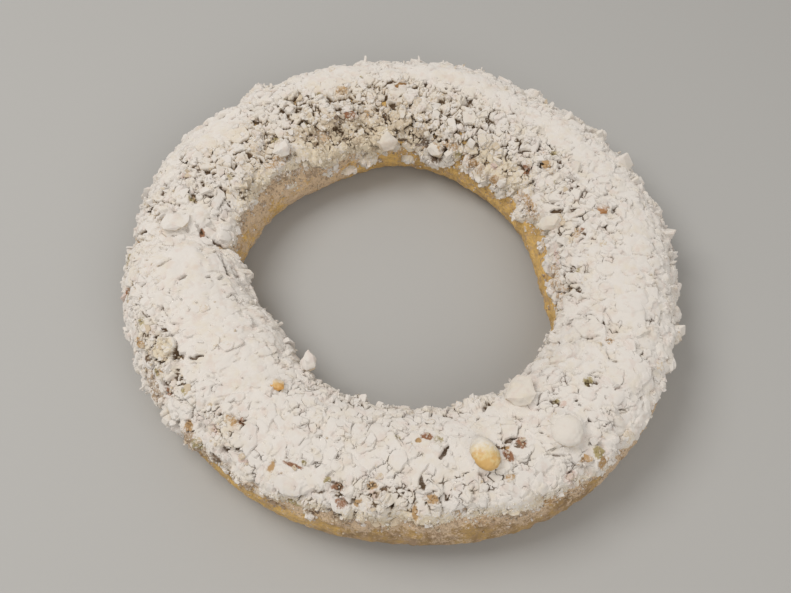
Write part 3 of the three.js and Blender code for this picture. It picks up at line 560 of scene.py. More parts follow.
class Roll:
    """The dough's surface on a grid of angles round the ring and turns round the roll."""

    def __init__(self, dough):
        low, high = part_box(DOUGH)
        self.centre = np.array([(low.x + high.x) / 2, (low.y + high.y) / 2])
        self.reach = (high - low).length
        self.belly = BELLY * (high.z - low.z)
        self.dough_tree = tree_of(dough)
        self.angles = np.arange(COLUMNS) * 2 * np.pi / COLUMNS
        self.radial = np.stack([np.cos(self.angles), np.sin(self.angles), np.zeros(COLUMNS)], axis=1)
        self.middle = np.array([self.section_middle(radial) for radial in self.radial])
        self.find_edges(tree_of(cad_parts[CRUST].data))
        self.lay_grid()

    def section_middle(self, radial):
        """The middle of the roll's section in one direction from the ring's centre."""
        start = Vector((*self.centre, self.belly))
        outwards = Vector(radial)
        inner = self.dough_tree.ray_cast(start, outwards)[0]
        outer = self.dough_tree.ray_cast(start + outwards * self.reach, -outwards)[0]
        return (np.array(inner) + np.array(outer)) / 2

    def direction(self, column, turn):
        return Vector(self.radial[column] * math.sin(turn)) + Vector((0, 0, math.cos(turn)))

    def find_edges(self, crust_tree):
        """How far the crust's own solid reaches down each side, in radians from the crown."""
        found = {1: np.zeros(COLUMNS), -1: np.zeros(COLUMNS)}
        for side, reach in found.items():
            for column in range(0, COLUMNS, EDGE_COLUMNS):
                start = Vector(self.middle[column])
                turn = NEAREST
                while turn < FURTHEST and crust_tree.ray_cast(start, self.direction(column, side * turn))[0]:
                    turn += EDGE_STEP
                reach[column : column + EDGE_COLUMNS] = turn
        self.outer_edge, self.inner_edge = found[1], found[-1]

    def lay_grid(self):
        """The dough's surface at every grid point, its normals, and the size of a cell there."""
        first = evened(self.outer_edge) + OUTER_ROOM
        last = -evened(self.inner_edge) - INNER_ROOM
        shares = np.linspace(0, 1, ROWS)
        self.turns = first[:, None] * (1 - shares) + last[:, None] * shares
        surface = np.empty((COLUMNS, ROWS, 3))
        for column in range(COLUMNS):
            start = Vector(self.middle[column])
            for row in range(ROWS):
                hit = self.dough_tree.ray_cast(start, self.direction(column, self.turns[column, row]))[0]
                surface[column, row] = hit
        self.surface = surface
        onwards = np.roll(surface, -1, axis=0) - np.roll(surface, 1, axis=0)
        across = np.gradient(surface, axis=1)
        outwards = np.cross(onwards, across)
        outwards = [blurred(part, *NORMALS_BLURRED) for part in outwards.transpose(2, 0, 1)]
        outwards = np.stack(outwards, axis=-1)
        self.outwards = outwards / np.linalg.norm(outwards, axis=-1, keepdims=True)
        self.cell_along = np.linalg.norm(onwards, axis=-1) / 2
        self.cell_across = np.linalg.norm(across, axis=-1)
        self.cell_size = float(self.cell_along.mean()), float(self.cell_across.mean())
        self.onwards = onwards / np.linalg.norm(onwards, axis=-1, keepdims=True)
        self.inwards = np.cross(self.outwards, self.onwards)
        self.turn_size = self.cell_across / np.abs(np.gradient(self.turns, axis=1))
        self.wobble = self.uneven("outlines")

    def uneven(self, name):
        """The named unevenness at each grid point."""
        return uneven(self.surface, name)

    def from_edge(self):
        """How far each grid point is inside the crust's nearer edge, in metres, less than 0 outside it."""
        to_outer = (self.outer_edge[:, None] - self.turns) * self.turn_size
        to_inner = (self.turns + self.inner_edge[:, None]) * self.turn_size
        return np.minimum(to_outer, to_inner)

    def beside(self, places):
        """The angle and side of places on the dough, and how far outside the crust's edge they lie."""
        across = places[:, :2] - self.centre
        angle = np.arctan2(across[:, 1], across[:, 0]) % (2 * np.pi)
        column = (angle * COLUMNS / (2 * np.pi)).astype(int) % COLUMNS
        middle = self.middle[column]
        out = np.linalg.norm(across, axis=1) - np.linalg.norm(middle[:, :2] - self.centre, axis=1)
        turn = np.arctan2(out, places[:, 2] - middle[:, 2])
        edge = np.where(turn > 0, self.outer_edge[column], self.inner_edge[column])
        return np.degrees(angle), np.sign(turn), (np.abs(turn) - edge) * float(self.turn_size.mean())

    def grid_place(self, angle, turn):
        """The column and the row of a place given in degrees."""
        column = int(round(math.radians(angle) * COLUMNS / (2 * math.pi))) % COLUMNS
        return column, int(np.abs(self.turns[column] - math.radians(turn)).argmin())

    def patch(self, angle, turn, along, across, fade=PATCH_FADE):
        """An oval of a size in millimetres: 1 in its middle, 0 outside, fading from a share of its radius."""
        off = (self.angles - math.radians(angle) + np.pi) % (2 * np.pi) - np.pi
        x = off[:, None] * self.cell_along * COLUMNS / (2 * np.pi)
        y = (self.turns - math.radians(turn)) * self.turn_size
        oval = np.sqrt((x / (along * MM / 2)) ** 2 + (y / (across * MM / 2)) ** 2)
        return 1.0 - smooth_share(oval + self.wobble, fade, PATCH_END)

    def patches(self, places):
        """The strongest of the listed patches at each grid point, each times its own strength."""
        total = np.zeros((COLUMNS, ROWS))
        for angle, turn, along, across, strength in places:
            total = np.maximum(total, strength * self.patch(angle, turn, along, across))
        return total


# ---------------------------------------------------------------- the heap of nuts

BED = 3.6 * MM  # how high the crust stands on the dough
BED_BARE = 0.4  # and how high its bed is before the pieces are laid, as a share of that
OUTSIDE = 2 * MM  # how far outside its edge the crust's grid has sunk into the dough
TUCKED_IN = 1.6 * MM  # and how deep
LOOSE = 0.22  # how loose the pieces lie where nothing is listed
HELD_BY_DRIFTS = 0.9  # how much less loose they are under a drift
DRIFT_HEIGHT = 0.5 * MM
STAINS_SUNK = 0.7  # how deep a full stain lies, in millimetres

GAP_DEPTH = 0.7  # how much of a listed gap's depth is cut
GAP_FADE = (0.55, 1.15)  # where a gap is at its deepest and where it ends, as shares of its half-width
GAP_TAPER = 0.3  # how much narrower it is at its ends
GAP_LEAST = 0.1 * MM  # the least half-length of a gap
GAP_ROOM = 4 * MM  # how far round a gap the grid is looked through
GAP_KEPT = (0.3, 1.0)  # the depths in millimetres between which large pieces start to stay out
CRACK_DEPTH = 0.7 * MM
CRACK_STEP = (0.12 * MM, 0.3 * MM)  # the steps of the relief that crack a little, and fully
CRACKED = (-0.15, 0.3)  # and how cracked their stretch has to be for that

PLATE_SIDES = (4, 7)  # from four to six
PLATE_CUT = 0.82  # how far from its middle a plate is cut off, as a share of its half-length
PLATE_SPREAD = 0.35  # how much the lengths vary
PLATE_WIDTHS = (0.45, 0.95)  # as shares of the length
PLATE_RISES = (0.55, 1.45)  # as shares of the usual thickness
LISTED_RISE = 0.8  # how much of a listed plate's rise shows
LISTED_TILT = 0.05  # and how far such a plate tilts
PROPPED = 0.3  # how far up the unevenness under it props a piece
ALMOST_0 = 1e-9  # keeps a piece on a single cell level

BANK_HEIGHT = 1.7 * MM  # how high the sugar is banked up against the big pieces
BANK_REACH = 3 * MM  # how far the bank reaches from them
BANK_ROOM = 4 * MM  # how far round them the grid is looked through
KERNEL_BANKS = 1.6  # how much higher the banks of the kernels are
DEEP = 1.5 * MM  # how far below its surroundings the crust is where the painted shade of its hollows is darkest

HEAP_BLUR = 5.0  # over how many millimetres the pieces are levelled before their gaps are filled
FILL_BLUR = 1.2  # and the sugar in the gaps
LISTED_BLUR = 1.2  # and the places of the listed plates
SETTLED_BLUR = 9.0  # and the whole heap in the end
EDGE_BLUR = 0.15  # and the edges of its pieces
DRIFT_BLUR = 1.0  # and its relief under the drifts
DEPTH_BLUR = 2.0  # and what the crust's depth is measured from
TONE_BLUR = 0.4  # and the pieces' tones
GAP_BLUR = 0.6  # and the gaps that large pieces stay out of

SLAB_WIDTH = 0.75  # of the cells that a slab lies on, as a share of its length
SLAB_FOLLOWS = 0.7  # how much of the slope under it a slab follows
SLAB_STEEPEST = 0.6  # and the steepest such slope
SLAB_TOP = 0.06  # how high above its bed a slab's top is, as a share of its length
SLAB_SUNK = 0.04  # and how deep its middle is sunk in
SPILT_FROM = -0.5 * MM  # pieces further out than this lie on the dough
SPILT_BISCUIT = 0.8  # and this share of them are crumbs of dough
BARE_DUST = (0.2, 0.6)  # how dusty the pieces are that are bare of sugar
FULL_DUST = (0.75, 1.15)  # and the others
CHIP_STAINS = (0.3, 1.1)  # how much of the stain under it a piece takes up
CHIP_SPREAD = 0.3  # how much the lengths of the small pieces vary
CHIP_SIZES = (0.75, 1.2)  # and their length, width and thickness on top of that
CHIP_LIFTS = (-0.1, 0.2)  # how high a piece lies, as a share of its length


class Heap:
    """How high the crust stands on the dough at each grid point, in metres, as its pieces are laid on.

    The bare factors in its sums weigh one field against another.
    """

    def __init__(self, roll, settings):
        self.roll = roll
        self.random = np.random.default_rng(SEEDS["heap"])
        ragged = roll.uneven("crust edge") + roll.uneven("crust bays")
        self.inside = roll.from_edge() + ragged + (roll.patches(CLUMPS) - roll.patches(DRAWN_BACK)) * MM
        drift = roll.patches(DRIFTS)
        self.drift = np.clip(drift, 0, 1)
        self.broken = roll.patches(BROKEN)
        self.powdery = roll.patches(POWDERY)
        # From 0 under a drift to 1 in a broken stretch.
        loose = LOOSE + roll.uneven("looseness") + self.broken - HELD_BY_DRIFTS * drift
        self.loose = np.clip(loose, 0.0, 1.0)
        self.tone = np.zeros((COLUMNS, ROWS))
        self.biscuit = tuple(settings.biscuit)
        self.stain = self.stains(settings)
        self.gaps = self.crevices()
        self.hollow = np.maximum(self.gaps, STAINS_SUNK * self.stain[..., 3])
        self.target = BED * self.zone("bed")
        self.height = self.target * BED_BARE
        self.lay_crust(settings)

    def zone(self, name):
        """1 in a named zone along the crust's edge, 0 outside it, and even slopes between."""
        start, full, *ends = ZONES[name]
        share = smooth_share(self.inside, start, full)
        return share * (1 - smooth_share(self.inside, *ends)) if ends else share

    def crevices(self):
        """How deep the listed gaps are at each grid point, in millimetres, each tapering to its ends."""
        roll = self.roll
        deep = np.zeros((COLUMNS, ROWS))
        bend_x, bend_y = roll.uneven("gap bends along"), roll.uneven("gap bends across")
        rough = roll.uneven("gap sides")
        for from_angle, from_turn, to_angle, to_turn, width, depth in CREVICES:
            column, row = roll.grid_place((from_angle + to_angle) / 2, (from_turn + to_turn) / 2)
            radius = roll.cell_along[column, row] * COLUMNS / (2 * math.pi)
            half_x = math.radians(to_angle - from_angle) / 2 * radius
            half_y = -math.radians(to_turn - from_turn) / 2 * roll.turn_size[column, row]
            half = max(math.hypot(half_x, half_y), GAP_LEAST)
            cells, x, y = self.footprint(column, row, half + GAP_ROOM)
            x = x + bend_x[cells]
            y = y + bend_y[cells]
            share = np.clip((x * half_x + y * half_y) / half**2, -1, 1)
            off = np.hypot(x - share * half_x, y - share * half_y) / (width * MM / 2)
            taper = GAP_TAPER * share**2
            gap = GAP_DEPTH * depth * (1 - smooth_share(off + rough[cells] + taper, *GAP_FADE))
            deep[cells] = np.maximum(deep[cells], gap)
        return deep

    def stains(self, settings):
        """The colour and the strength of the stains at each grid point, as red, green, blue and strength."""
        stain = np.zeros((COLUMNS, ROWS, 4))
        for *oval, name, strength in STAINS:
            share = strength * self.roll.patch(*oval, fade=STAIN_FADE)
            stronger = share > stain[..., 3]
            stain[stronger, :3] = getattr(settings, name)
            stain[stronger, 3] = share[stronger]
        return stain

    def unbroken(self):
        """1 beside the listed gaps and 0 in them, where no large piece lies."""
        return 1 - smooth_share(self.soft(self.gaps, GAP_BLUR), *GAP_KEPT)

    def soft(self, field, size):
        """The field blurred over a size in millimetres."""
        along, across = self.roll.cell_size
        return blurred(field, size * MM / along, size * MM / across)

    def footprint(self, column, row, reach):
        """The grid cells within reach of a cell, with their places on the surface."""
        roll = self.roll
        half_along = int(np.ceil(reach / roll.cell_along[column, row]))
        half_across = int(np.ceil(reach / roll.cell_across[column, row]))
        columns = np.arange(column - half_along, column + half_along + 1)
        rows = np.arange(max(row - half_across, 0), min(row + half_across + 1, ROWS))
        x = (columns - column)[:, None] * roll.cell_along[column, row]
        y = (rows - row)[None, :] * roll.cell_across[column, row]
        return np.ix_(columns % COLUMNS, rows), x, y

    def lay_plates(self, settings, kind, weight):
        """Lays flat pieces of a kind on the heap, one on another, likelier where the weight is high."""
        random = self.random
        count, length = getattr(settings, f"{kind}s"), getattr(settings, kind)
        thickness, tilt = LAYERS[kind]
        columns, rows = self.spots(random, weight, count)
        for column, row in zip(columns, rows):
            span = length * math.exp(random.normal(0, PLATE_SPREAD))
            width = span * random.uniform(*PLATE_WIDTHS)
            rise = thickness * random.uniform(*PLATE_RISES)
            turn = random.uniform(0, math.pi)
            self.lay_plate(column, row, span, width, turn, rise, random.normal(0, tilt, 2))

    def lay_plate(self, column, row, span, width, turn, rise, lean):
        """Lays one plate with a broken outline, which half follows the slope of what is under it."""
        random = self.random
        sides = int(random.integers(*PLATE_SIDES))
        corners = (np.arange(sides) + random.uniform(-0.3, 0.3, sides)) * 2 * math.pi / sides
        cells, x, y = self.footprint(column, row, max(span, width) / 2)
        u = (x * math.cos(turn) + y * math.sin(turn)) / (span / 2)
        v = (y * math.cos(turn) - x * math.sin(turn)) / (width / 2)
        under = np.ones(np.broadcast(x, y).shape, bool)
        for corner in corners:
            under &= u * math.cos(corner) + v * math.sin(corner) < PLATE_CUT
        level, slope_x, slope_y = self.lie(cells, under, x, y)
        top = level + rise + (0.5 * slope_x + lean[0]) * x + (0.5 * slope_y + lean[1]) * y
        covered = under & (top > self.height[cells])
        self.height[cells] = np.where(covered, top, self.height[cells])
        self.tone[cells] = np.where(covered, random.uniform(-1, 1), self.tone[cells])

    def lay_listed(self):
        """Lays the large plates in their own places, and gives where they are."""
        before = self.height.copy()
        for angle, turn, along, across, lean, rise in PLATES:
            column, row = self.roll.grid_place(angle, turn)
            tilt = self.random.normal(0, LISTED_TILT, 2)
            rise = LISTED_RISE * rise * MM
            self.lay_plate(column, row, along * MM, across * MM, math.radians(lean), rise, tilt)
        return self.soft((self.height > before).astype(float), LISTED_BLUR)

    def lie(self, cells, under, x, y):
        """How a flat piece lies on some cells: its level and its slopes along and across."""
        height = self.height[cells][under]
        x, y = np.broadcast_to(x, under.shape)[under], np.broadcast_to(y, under.shape)[under]
        level = height.mean()
        slope_x = ((height - level) * x).mean() / ((x**2).mean() + ALMOST_0)
        slope_y = ((height - level) * y).mean() / ((y**2).mean() + ALMOST_0)
        return level + PROPPED * height.std(), slope_x, slope_y

    def lay_crust(self, settings):
        """Heaps plates and blocks, fills their gaps with sugar, and lays sheets and flakes on top."""
        laid = self.zone("laid pieces")
        self.lay_plates(settings, "plate", laid)
        rim = 0.9 * self.zone("rim blocks") * (1 - self.powdery)
        self.lay_plates(settings, "block", laid * np.clip(self.broken + rim, 0, 1))
        self.fill_gaps()
        self.lay_plates(settings, "sheet", laid * (0.25 + self.drift) * (1 - 0.8 * self.loose))
        self.lay_plates(settings, "flake", laid * (0.25 + self.loose) * (1.1 - self.drift))
        self.settle(self.lay_listed())

    def fill_gaps(self):
        """Fills the gaps between the pieces with sugar: most under the drifts, least where they lie loose."""
        relief = (self.height - self.soft(self.height, HEAP_BLUR)) * (0.65 + 0.35 * self.loose)
        fill = self.soft(relief, FILL_BLUR) + (0.22 + 0.3 * self.drift - 0.55 * self.loose) * MM
        self.height = np.maximum(relief, fill)
        self.height += 0.8 * self.drift * (self.soft(self.height, FILL_BLUR) - self.height)

    def settle(self, listed):
        """Brings the pieces' relief onto the crust's own height, with waves, grit, cracks, gaps and banks."""
        relief = self.height - self.soft(self.height, SETTLED_BLUR)
        self.crack = self.cracks(relief, listed)
        grit = self.roll.uneven("grit") * (1 - self.zone("no grit"))
        relief = self.soft(relief, EDGE_BLUR)
        relief += 0.65 * self.drift * (self.soft(relief, DRIFT_BLUR) - relief) + grit
        waves = self.roll.uneven("crust waves") + DRIFT_HEIGHT * self.drift
        lift = relief + waves - CRACK_DEPTH * self.crack - self.hollow * MM + self.skirts()
        outside = smooth_share(-self.inside, 0.0, OUTSIDE)
        self.height = self.target + lift * self.zone("relief") - TUCKED_IN * outside
        # How deep each point lies below its surroundings. This sets the painted shade in the hollows.
        self.depth = np.clip((self.soft(self.height, DEPTH_BLUR) - self.height) / DEEP, 0, 1)
        self.tone = self.soft(self.tone, TONE_BLUR)

    def cracks(self, relief, listed):
        """How open the crack below each step of the relief is. Most lie round the listed plates."""
        step = highest_near(relief) - relief
        cracking = self.roll.uneven("cracked stretches") + 0.6 * (self.loose - 0.35) - 0.38 * self.drift
        cracking += 0.45 * listed + self.roll.uneven("crack breaks")
        cracking = smooth_share(cracking, *CRACKED) * (1 - self.powdery)
        return smooth_share(step, *CRACK_STEP) * cracking

    def skirts(self):
        """The sugar banked up against the kernels and the big pieces."""
        banked = np.zeros((COLUMNS, ROWS))
        for node in (*KERNELS, *CHUNKS):
            low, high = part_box(node)
            amount = KERNEL_BANKS if node in KERNELS else 1.0
            tree = tree_of(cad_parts[node].data)
            off = np.linalg.norm(self.roll.surface - np.array((low + high) / 2), axis=-1)
            for column, row in np.argwhere(off < (high - low).length / 2 + BANK_ROOM):
                out = self.roll.outwards[column, row]
                place = self.roll.surface[column, row] + out * self.target[column, row]
                near = smooth_share(1 - tree.find_nearest(Vector(place))[3] / BANK_REACH, 0, 1)
                banked[column, row] = max(banked[column, row], amount * near)
        return BANK_HEIGHT * banked * (1 + self.roll.uneven("banks"))

    def values(self):
        """What the crust's colours need at each grid point: dust, hollow, tone and stain. The hollow is
        partly undusted nut and partly painted shade: it is darker the deeper a point lies below its
        surroundings, and in cracks and listed gaps.
        """
        # Painted shade: darkness by depth below the surroundings, stronger on broken stretches, plus the
        # cracks and the listed gaps.
        shade = (0.4 + 0.95 * self.broken) * self.depth**1.3
        shade += (0.02 + 0.12 * np.clip(self.broken, 0, 1)) * self.gaps
        hollow = np.clip(shade + 0.3 * self.crack + 0.18 * self.hollow, 0, 1)
        # Less dust where the hollow is dark. This shows bare nut and adds to the painted shade.
        dust = np.clip(1.0 - 0.5 * hollow - 0.2 * self.broken - self.roll.patches(THIN), 0, 1)
        thin = 1 - self.zone("thick sugar")
        tone = self.tone + 2.5 * self.broken + 5.0 * thin
        return {"hollow": hollow, "dust": dust - 0.15 * thin, "tone": tone, "stain": self.stain}

    def spots(self, random, weight, count):
        """Columns and rows of random places, likelier where the weight is high."""
        total = np.cumsum(weight * self.roll.cell_along * self.roll.cell_across)
        picked = np.searchsorted(total, random.uniform(0, total[-1], count))
        return np.minimum(picked, total.size - 1) // ROWS, picked % ROWS

    def rest_on(self, column, row, span, tilt, towards):
        """Where a slab comes to rest and how it faces. The heap grows by the slab."""
        roll = self.roll
        cells, x, y = self.footprint(column, row, span / 2)
        under = (x / (span / 2)) ** 2 + (y / (span / 2 * SLAB_WIDTH)) ** 2 < 1
        level, *slopes = self.lie(cells, under, x, y)
        slope_x, slope_y = SLAB_FOLLOWS * np.clip(slopes, -SLAB_STEEPEST, SLAB_STEEPEST)
        slope_x -= math.tan(tilt) * math.cos(towards)
        slope_y -= math.tan(tilt) * math.sin(towards)
        up = roll.outwards[column, row] - slope_x * roll.onwards[column, row]
        up -= slope_y * roll.inwards[column, row]
        top = level + SLAB_TOP * span + slope_x * x + slope_y * y
        self.height[cells] = np.where(under, np.maximum(self.height[cells], top), self.height[cells])
        place = roll.surface[column, row] + roll.outwards[column, row] * (level - SLAB_SUNK * span)
        return place, up / np.linalg.norm(up)

    def chip_values(self, random, columns, rows, bare):
        """Dust, tone and stain of single pieces, of which a share is bare of sugar."""
        count = len(columns)
        stain = self.stain[columns, rows]
        outside = self.inside[columns, rows] < SPILT_FROM
        spilt = outside & (random.uniform(0, 1, count) < SPILT_BISCUIT)
        stain[spilt] = (*self.biscuit, 1.0)
        share = bare * (0.25 + self.loose[columns, rows]) + 0.35 * stain[:, 3]
        undusted = random.uniform(0, 1, count) < share
        dust = np.where(undusted, random.uniform(*BARE_DUST, count), random.uniform(*FULL_DUST, count))
        stain[:, 3] *= random.uniform(*CHIP_STAINS, count)
        tone = random.uniform(-1, 1, count)
        return {"dust": dust, "hollow": np.zeros(count), "tone": tone, "stain": stain}

    def scattered(self, name, random, patterns, weight, count, length, tilt, bare):
        """A mesh of many pieces lying on the heap at all angles."""
        roll = self.roll
        columns, rows = self.spots(random, weight, count)
        spans = length * np.exp(random.normal(0, CHIP_SPREAD, count))
        tilts = np.abs(random.normal(0, math.radians(tilt), count))
        towards, spins = random.uniform(0, 2 * math.pi, (2, count))
        along = roll.onwards[columns, rows]
        facing = tipped(roll.outwards[columns, rows], along, tilts, towards)
        frames = standing(facing, along, spins)
        lift = np.maximum(self.height[columns, rows], 0) + spans * random.uniform(*CHIP_LIFTS, count)
        places = roll.surface[columns, rows] + roll.outwards[columns, rows] * lift[:, None]
        sizes = spans[:, None] * random.uniform(*CHIP_SIZES, (count, 3))
        values = self.chip_values(random, columns, rows, bare)
        picks = random.integers(0, len(patterns), count)
        return joined(name, patterns, picks, places, frames, sizes, values)


bench = {}  # what one step leaves for the next


def from_bench(name, maker):
    if name not in bench:
        raise RuntimeError(f"Make the {maker} first")
    return bench[name]


# ---------------------------------------------------------------- materials

GRAINS = {  # the size of the noise, its detail and its roughness
    "browning": (9 * MM, 5.0, 0.6),
    "mottling": (5 * MM, 6.0, 0.7),
    "blush": (4 * MM, 5.0, 0.65),
    "flour flecks": (0.9 * MM, 4.0, 0.7),
    "flour clouds": (3 * MM, 4.0, 0.55),
    "dough specks": (1.2 * MM, 5.0, 0.75),
    "dough crumbs": (2 * MM, 4.0, 0.6),
    "cream": (7 * MM, 4.0, 0.55),
    "rose": (5 * MM, 3.0, 0.55),
    "stain edges": (1.3 * MM, 4.0, 0.65),
    "thin sugar": (1.1 * MM, 4.0, 0.65),
    "patchy hollow shade": (0.9 * MM, 4.0, 0.7),
    "sugar lumps": (1.6 * MM, 4.0, 0.6),
    "sugar grain": (0.45 * MM, 3.0, 0.6),
    "ripeness": (3 * MM, 4.0, 0.55),
    "nut specks": (1.6 * MM, 4.0, 0.7),
    "nut grain": (1.2 * MM, 4.0, 0.6),
    "floor": (2 * MM, 3.0, 0.55),
}
CRUMB_BUMPS = 1.2 * MM  # how deep the bumps of each material are
FLECK_BUMPS = 0.5 * MM
LUMP_BUMPS = 0.3 * MM
GRAIN_BUMPS = 0.1 * MM
NUT_BUMPS = 0.25 * MM
FLOOR_BUMPS = 0.02 * MM
TOASTED = (0.9, 0.72, 0.5)  # how much of a bare nut's red, green and blue its darker flesh has


def new_material(name):
    material = bpy.data.materials.new(name)
    material.use_nodes = True
    material.node_tree.nodes.clear()
    return material


class Tree:
    """Short ways to add nodes to a material."""

    def __init__(self, material):
        self.nodes = material.node_tree.nodes
        self.links = material.node_tree.links
        self.position = self.add("ShaderNodeTexCoord").outputs["Object"]

    def add(self, kind, **values):
        node = self.nodes.new(kind)
        for key, value in values.items():
            setattr(node, key, value)
        return node

    def feed(self, socket, value):
        if isinstance(value, bpy.types.NodeSocket):
            self.links.new(value, socket)
        else:
            socket.default_value = value

    def noise(self, name):
        """The named noise, from 0 to 1."""
        size, detail, roughness = GRAINS[name]
        node = self.add("ShaderNodeTexNoise")
        self.feed(node.inputs["Vector"], self.position)
        self.feed(node.inputs["Scale"], 1.0 / size)
        self.feed(node.inputs["Detail"], detail)
        self.feed(node.inputs["Roughness"], roughness)
        return node.outputs["Fac"]

    def attribute(self, name, part="Fac"):
        return self.add("ShaderNodeAttribute", attribute_name=name).outputs[part]

    def math(self, operation, a, b, clamp=False):
        node = self.add("ShaderNodeMath", operation=operation, use_clamp=clamp)
        self.feed(node.inputs[0], a)
        self.feed(node.inputs[1], b)
        return node.outputs["Value"]

    def plus(self, a, b, clamp=False):
        return self.math("ADD", a, b, clamp)

    def times(self, a, b):
        return self.math("MULTIPLY", a, b)

    def about_0(self, name, amount, middle=0.5):
        """The named noise about its middle, times an amount."""
        return self.times(self.math("SUBTRACT", self.noise(name), middle), amount)

    def ramp(self, value, low, high):
        """0 to 1 as the value goes from low to high."""
        node = self.add("ShaderNodeMapRange", interpolation_type="SMOOTHSTEP")
        self.feed(node.inputs["Value"], value)
        self.feed(node.inputs["From Min"], low)
        self.feed(node.inputs["From Max"], high)
        return node.outputs["Result"]

    def mix(self, share, a, b):
        node = self.add("ShaderNodeMix", data_type="RGBA")
        self.feed(node.inputs["Factor"], share)
        self.feed(node.inputs["A"], (*a, 1.0) if isinstance(a, tuple) else a)
        self.feed(node.inputs["B"], (*b, 1.0) if isinstance(b, tuple) else b)
        return node.outputs["Result"]

    def over(self, under, colour, mask, amount):
        """A colour laid over another one where the mask is 1, as strongly as the amount."""
        return self.mix(self.times(mask, amount), under, tuple(colour))

    def bump(self, height, distance, strength, under=None):
        node = self.add("ShaderNodeBump")
        self.feed(node.inputs["Height"], height)
        self.feed(node.inputs["Distance"], distance)
        self.feed(node.inputs["Strength"], strength)
        if under is not None:
            self.feed(node.inputs["Normal"], under)
        return node.outputs["Normal"]

    def finish(self, colour, roughness, normal, **settings):
        shader = self.add("ShaderNodeBsdfPrincipled")
        self.feed(shader.inputs["Base Color"], colour)
        self.feed(shader.inputs["Roughness"], roughness)
        self.feed(shader.inputs["Normal"], normal)
        for key, value in settings.items():
            shader.inputs[key.replace("_", " ")].default_value = value
        out = self.add("ShaderNodeOutputMaterial")
        self.links.new(shader.outputs["BSDF"], out.inputs["Surface"])


def dough_material(settings):
    """Baked sweet dough: golden skin that browns in patches, under specks, crumbs and clouds of flour."""
    material = new_material("baked_dough")
    tree = Tree(material)
    browned = tree.plus(tree.noise("browning"), tree.attribute("baked"))
    skin = tree.mix(tree.ramp(browned, 0.45, 0.95), tuple(settings.golden), tuple(settings.brown))
    mottled = tree.ramp(tree.noise("mottling"), 0.42, 0.75)
    skin = tree.over(skin, settings.brown, mottled, 0.55)
    blush = tree.ramp(tree.noise("blush"), 0.48, 0.62)
    skin = tree.over(skin, settings.blush, blush, 0.6)
    fine = tree.noise("flour flecks")
    clouds = tree.noise("flour clouds")
    flecks = tree.plus(tree.times(fine, 0.6), tree.times(clouds, 0.4))
    floured = tree.times(tree.attribute("flour"), 0.28)
    dusty = tree.ramp(tree.plus(flecks, floured), 0.61, 0.72)
    coloured = tree.over(skin, settings.flour, dusty, 0.9)
    speckle = tree.ramp(tree.noise("dough specks"), 0.52, 0.6)
    speckled = tree.plus(0.22, tree.times(tree.attribute("flour"), 0.3), clamp=True)
    coloured = tree.over(coloured, settings.brown, speckle, speckled)
    crumbs = tree.bump(tree.noise("dough crumbs"), CRUMB_BUMPS, 0.9)
    grain = tree.bump(fine, FLECK_BUMPS, 0.9, under=crumbs)
    rough = tree.plus(0.5, tree.times(dusty, 0.4))
    tree.finish(coloured, rough, grain)
    return material


def crust_material(crust, name):
    """Powdered sugar over chopped nuts, which show where the dust is thin, with the undusted nut deep in the
    gaps darkened further by painted shade.
    """
    material = new_material(name)
    tree = Tree(material)
    tone = tree.times(tree.attribute("tone"), 0.12)
    creamy = tree.times(tree.ramp(tree.noise("cream"), 0.45, 0.75), 0.34)
    warm = tree.plus(creamy, tone, clamp=True)
    powder = tree.mix(warm, tuple(crust.sugar), tuple(crust.cream))
    rosy = tree.ramp(tree.noise("rose"), 0.5, 0.68)
    powder = tree.over(powder, crust.rose, rosy, 0.28)
    ragged = tree.about_0("stain edges", 1.9, middle=0.52)
    stained = tree.ramp(tree.plus(tree.attribute("stain", "Alpha"), ragged), 0.05, 0.6)
    stained = tree.times(stained, tree.ramp(tree.attribute("stain", "Alpha"), 0.0, 0.2))
    powder = tree.mix(tree.times(stained, 0.9), powder, tree.attribute("stain", "Color"))
    broken = tree.about_0("thin sugar", 1.1)
    dusted = tree.ramp(tree.plus(tree.attribute("dust"), broken), 0.35, 0.62)
    outer = tree.mix(dusted, tuple(crust.nut), powder)
    # Painted shade in the hollows, broken up by noise, darkens the colour towards the hollow colour.
    uneven = tree.plus(0.35, tree.times(tree.noise("patchy hollow shade"), 1.4))
    hollow = tree.ramp(tree.times(tree.attribute("hollow"), uneven), 0.22, 0.85)
    coloured = tree.mix(hollow, outer, tuple(crust.shade))
    lumps = tree.bump(tree.noise("sugar lumps"), LUMP_BUMPS, 0.4)
    grain = tree.bump(tree.noise("sugar grain"), GRAIN_BUMPS, 0.6, under=lumps)
    tree.finish(coloured, 0.92, grain, Diffuse_Roughness=0.6, Specular_IOR_Level=0.25)
    return material


def nut_material(name, flesh, crust, roughness):
    """A bare nut piece, dusted with sugar where it faces up."""
    material = new_material(name)
    tree = Tree(material)
    dark = tuple(part * darker for part, darker in zip(flesh, TOASTED))
    ripe = tree.plus(tree.noise("ripeness"), tree.times(tree.attribute("tone"), 0.14))
    body = tree.mix(tree.ramp(ripe, 0.42, 0.66), tuple(flesh), dark)
    specks = tree.about_0("nut specks", 1.4)
    dust = tree.ramp(tree.plus(tree.attribute("dust"), specks), 0.2, 1.1)
    coloured = tree.over(body, crust.sugar, dust, 0.9)
    grain = tree.bump(tree.noise("nut grain"), NUT_BUMPS, 0.6)
    tree.finish(coloured, roughness, grain)
    return material


# ---------------------------------------------------------------- the dough

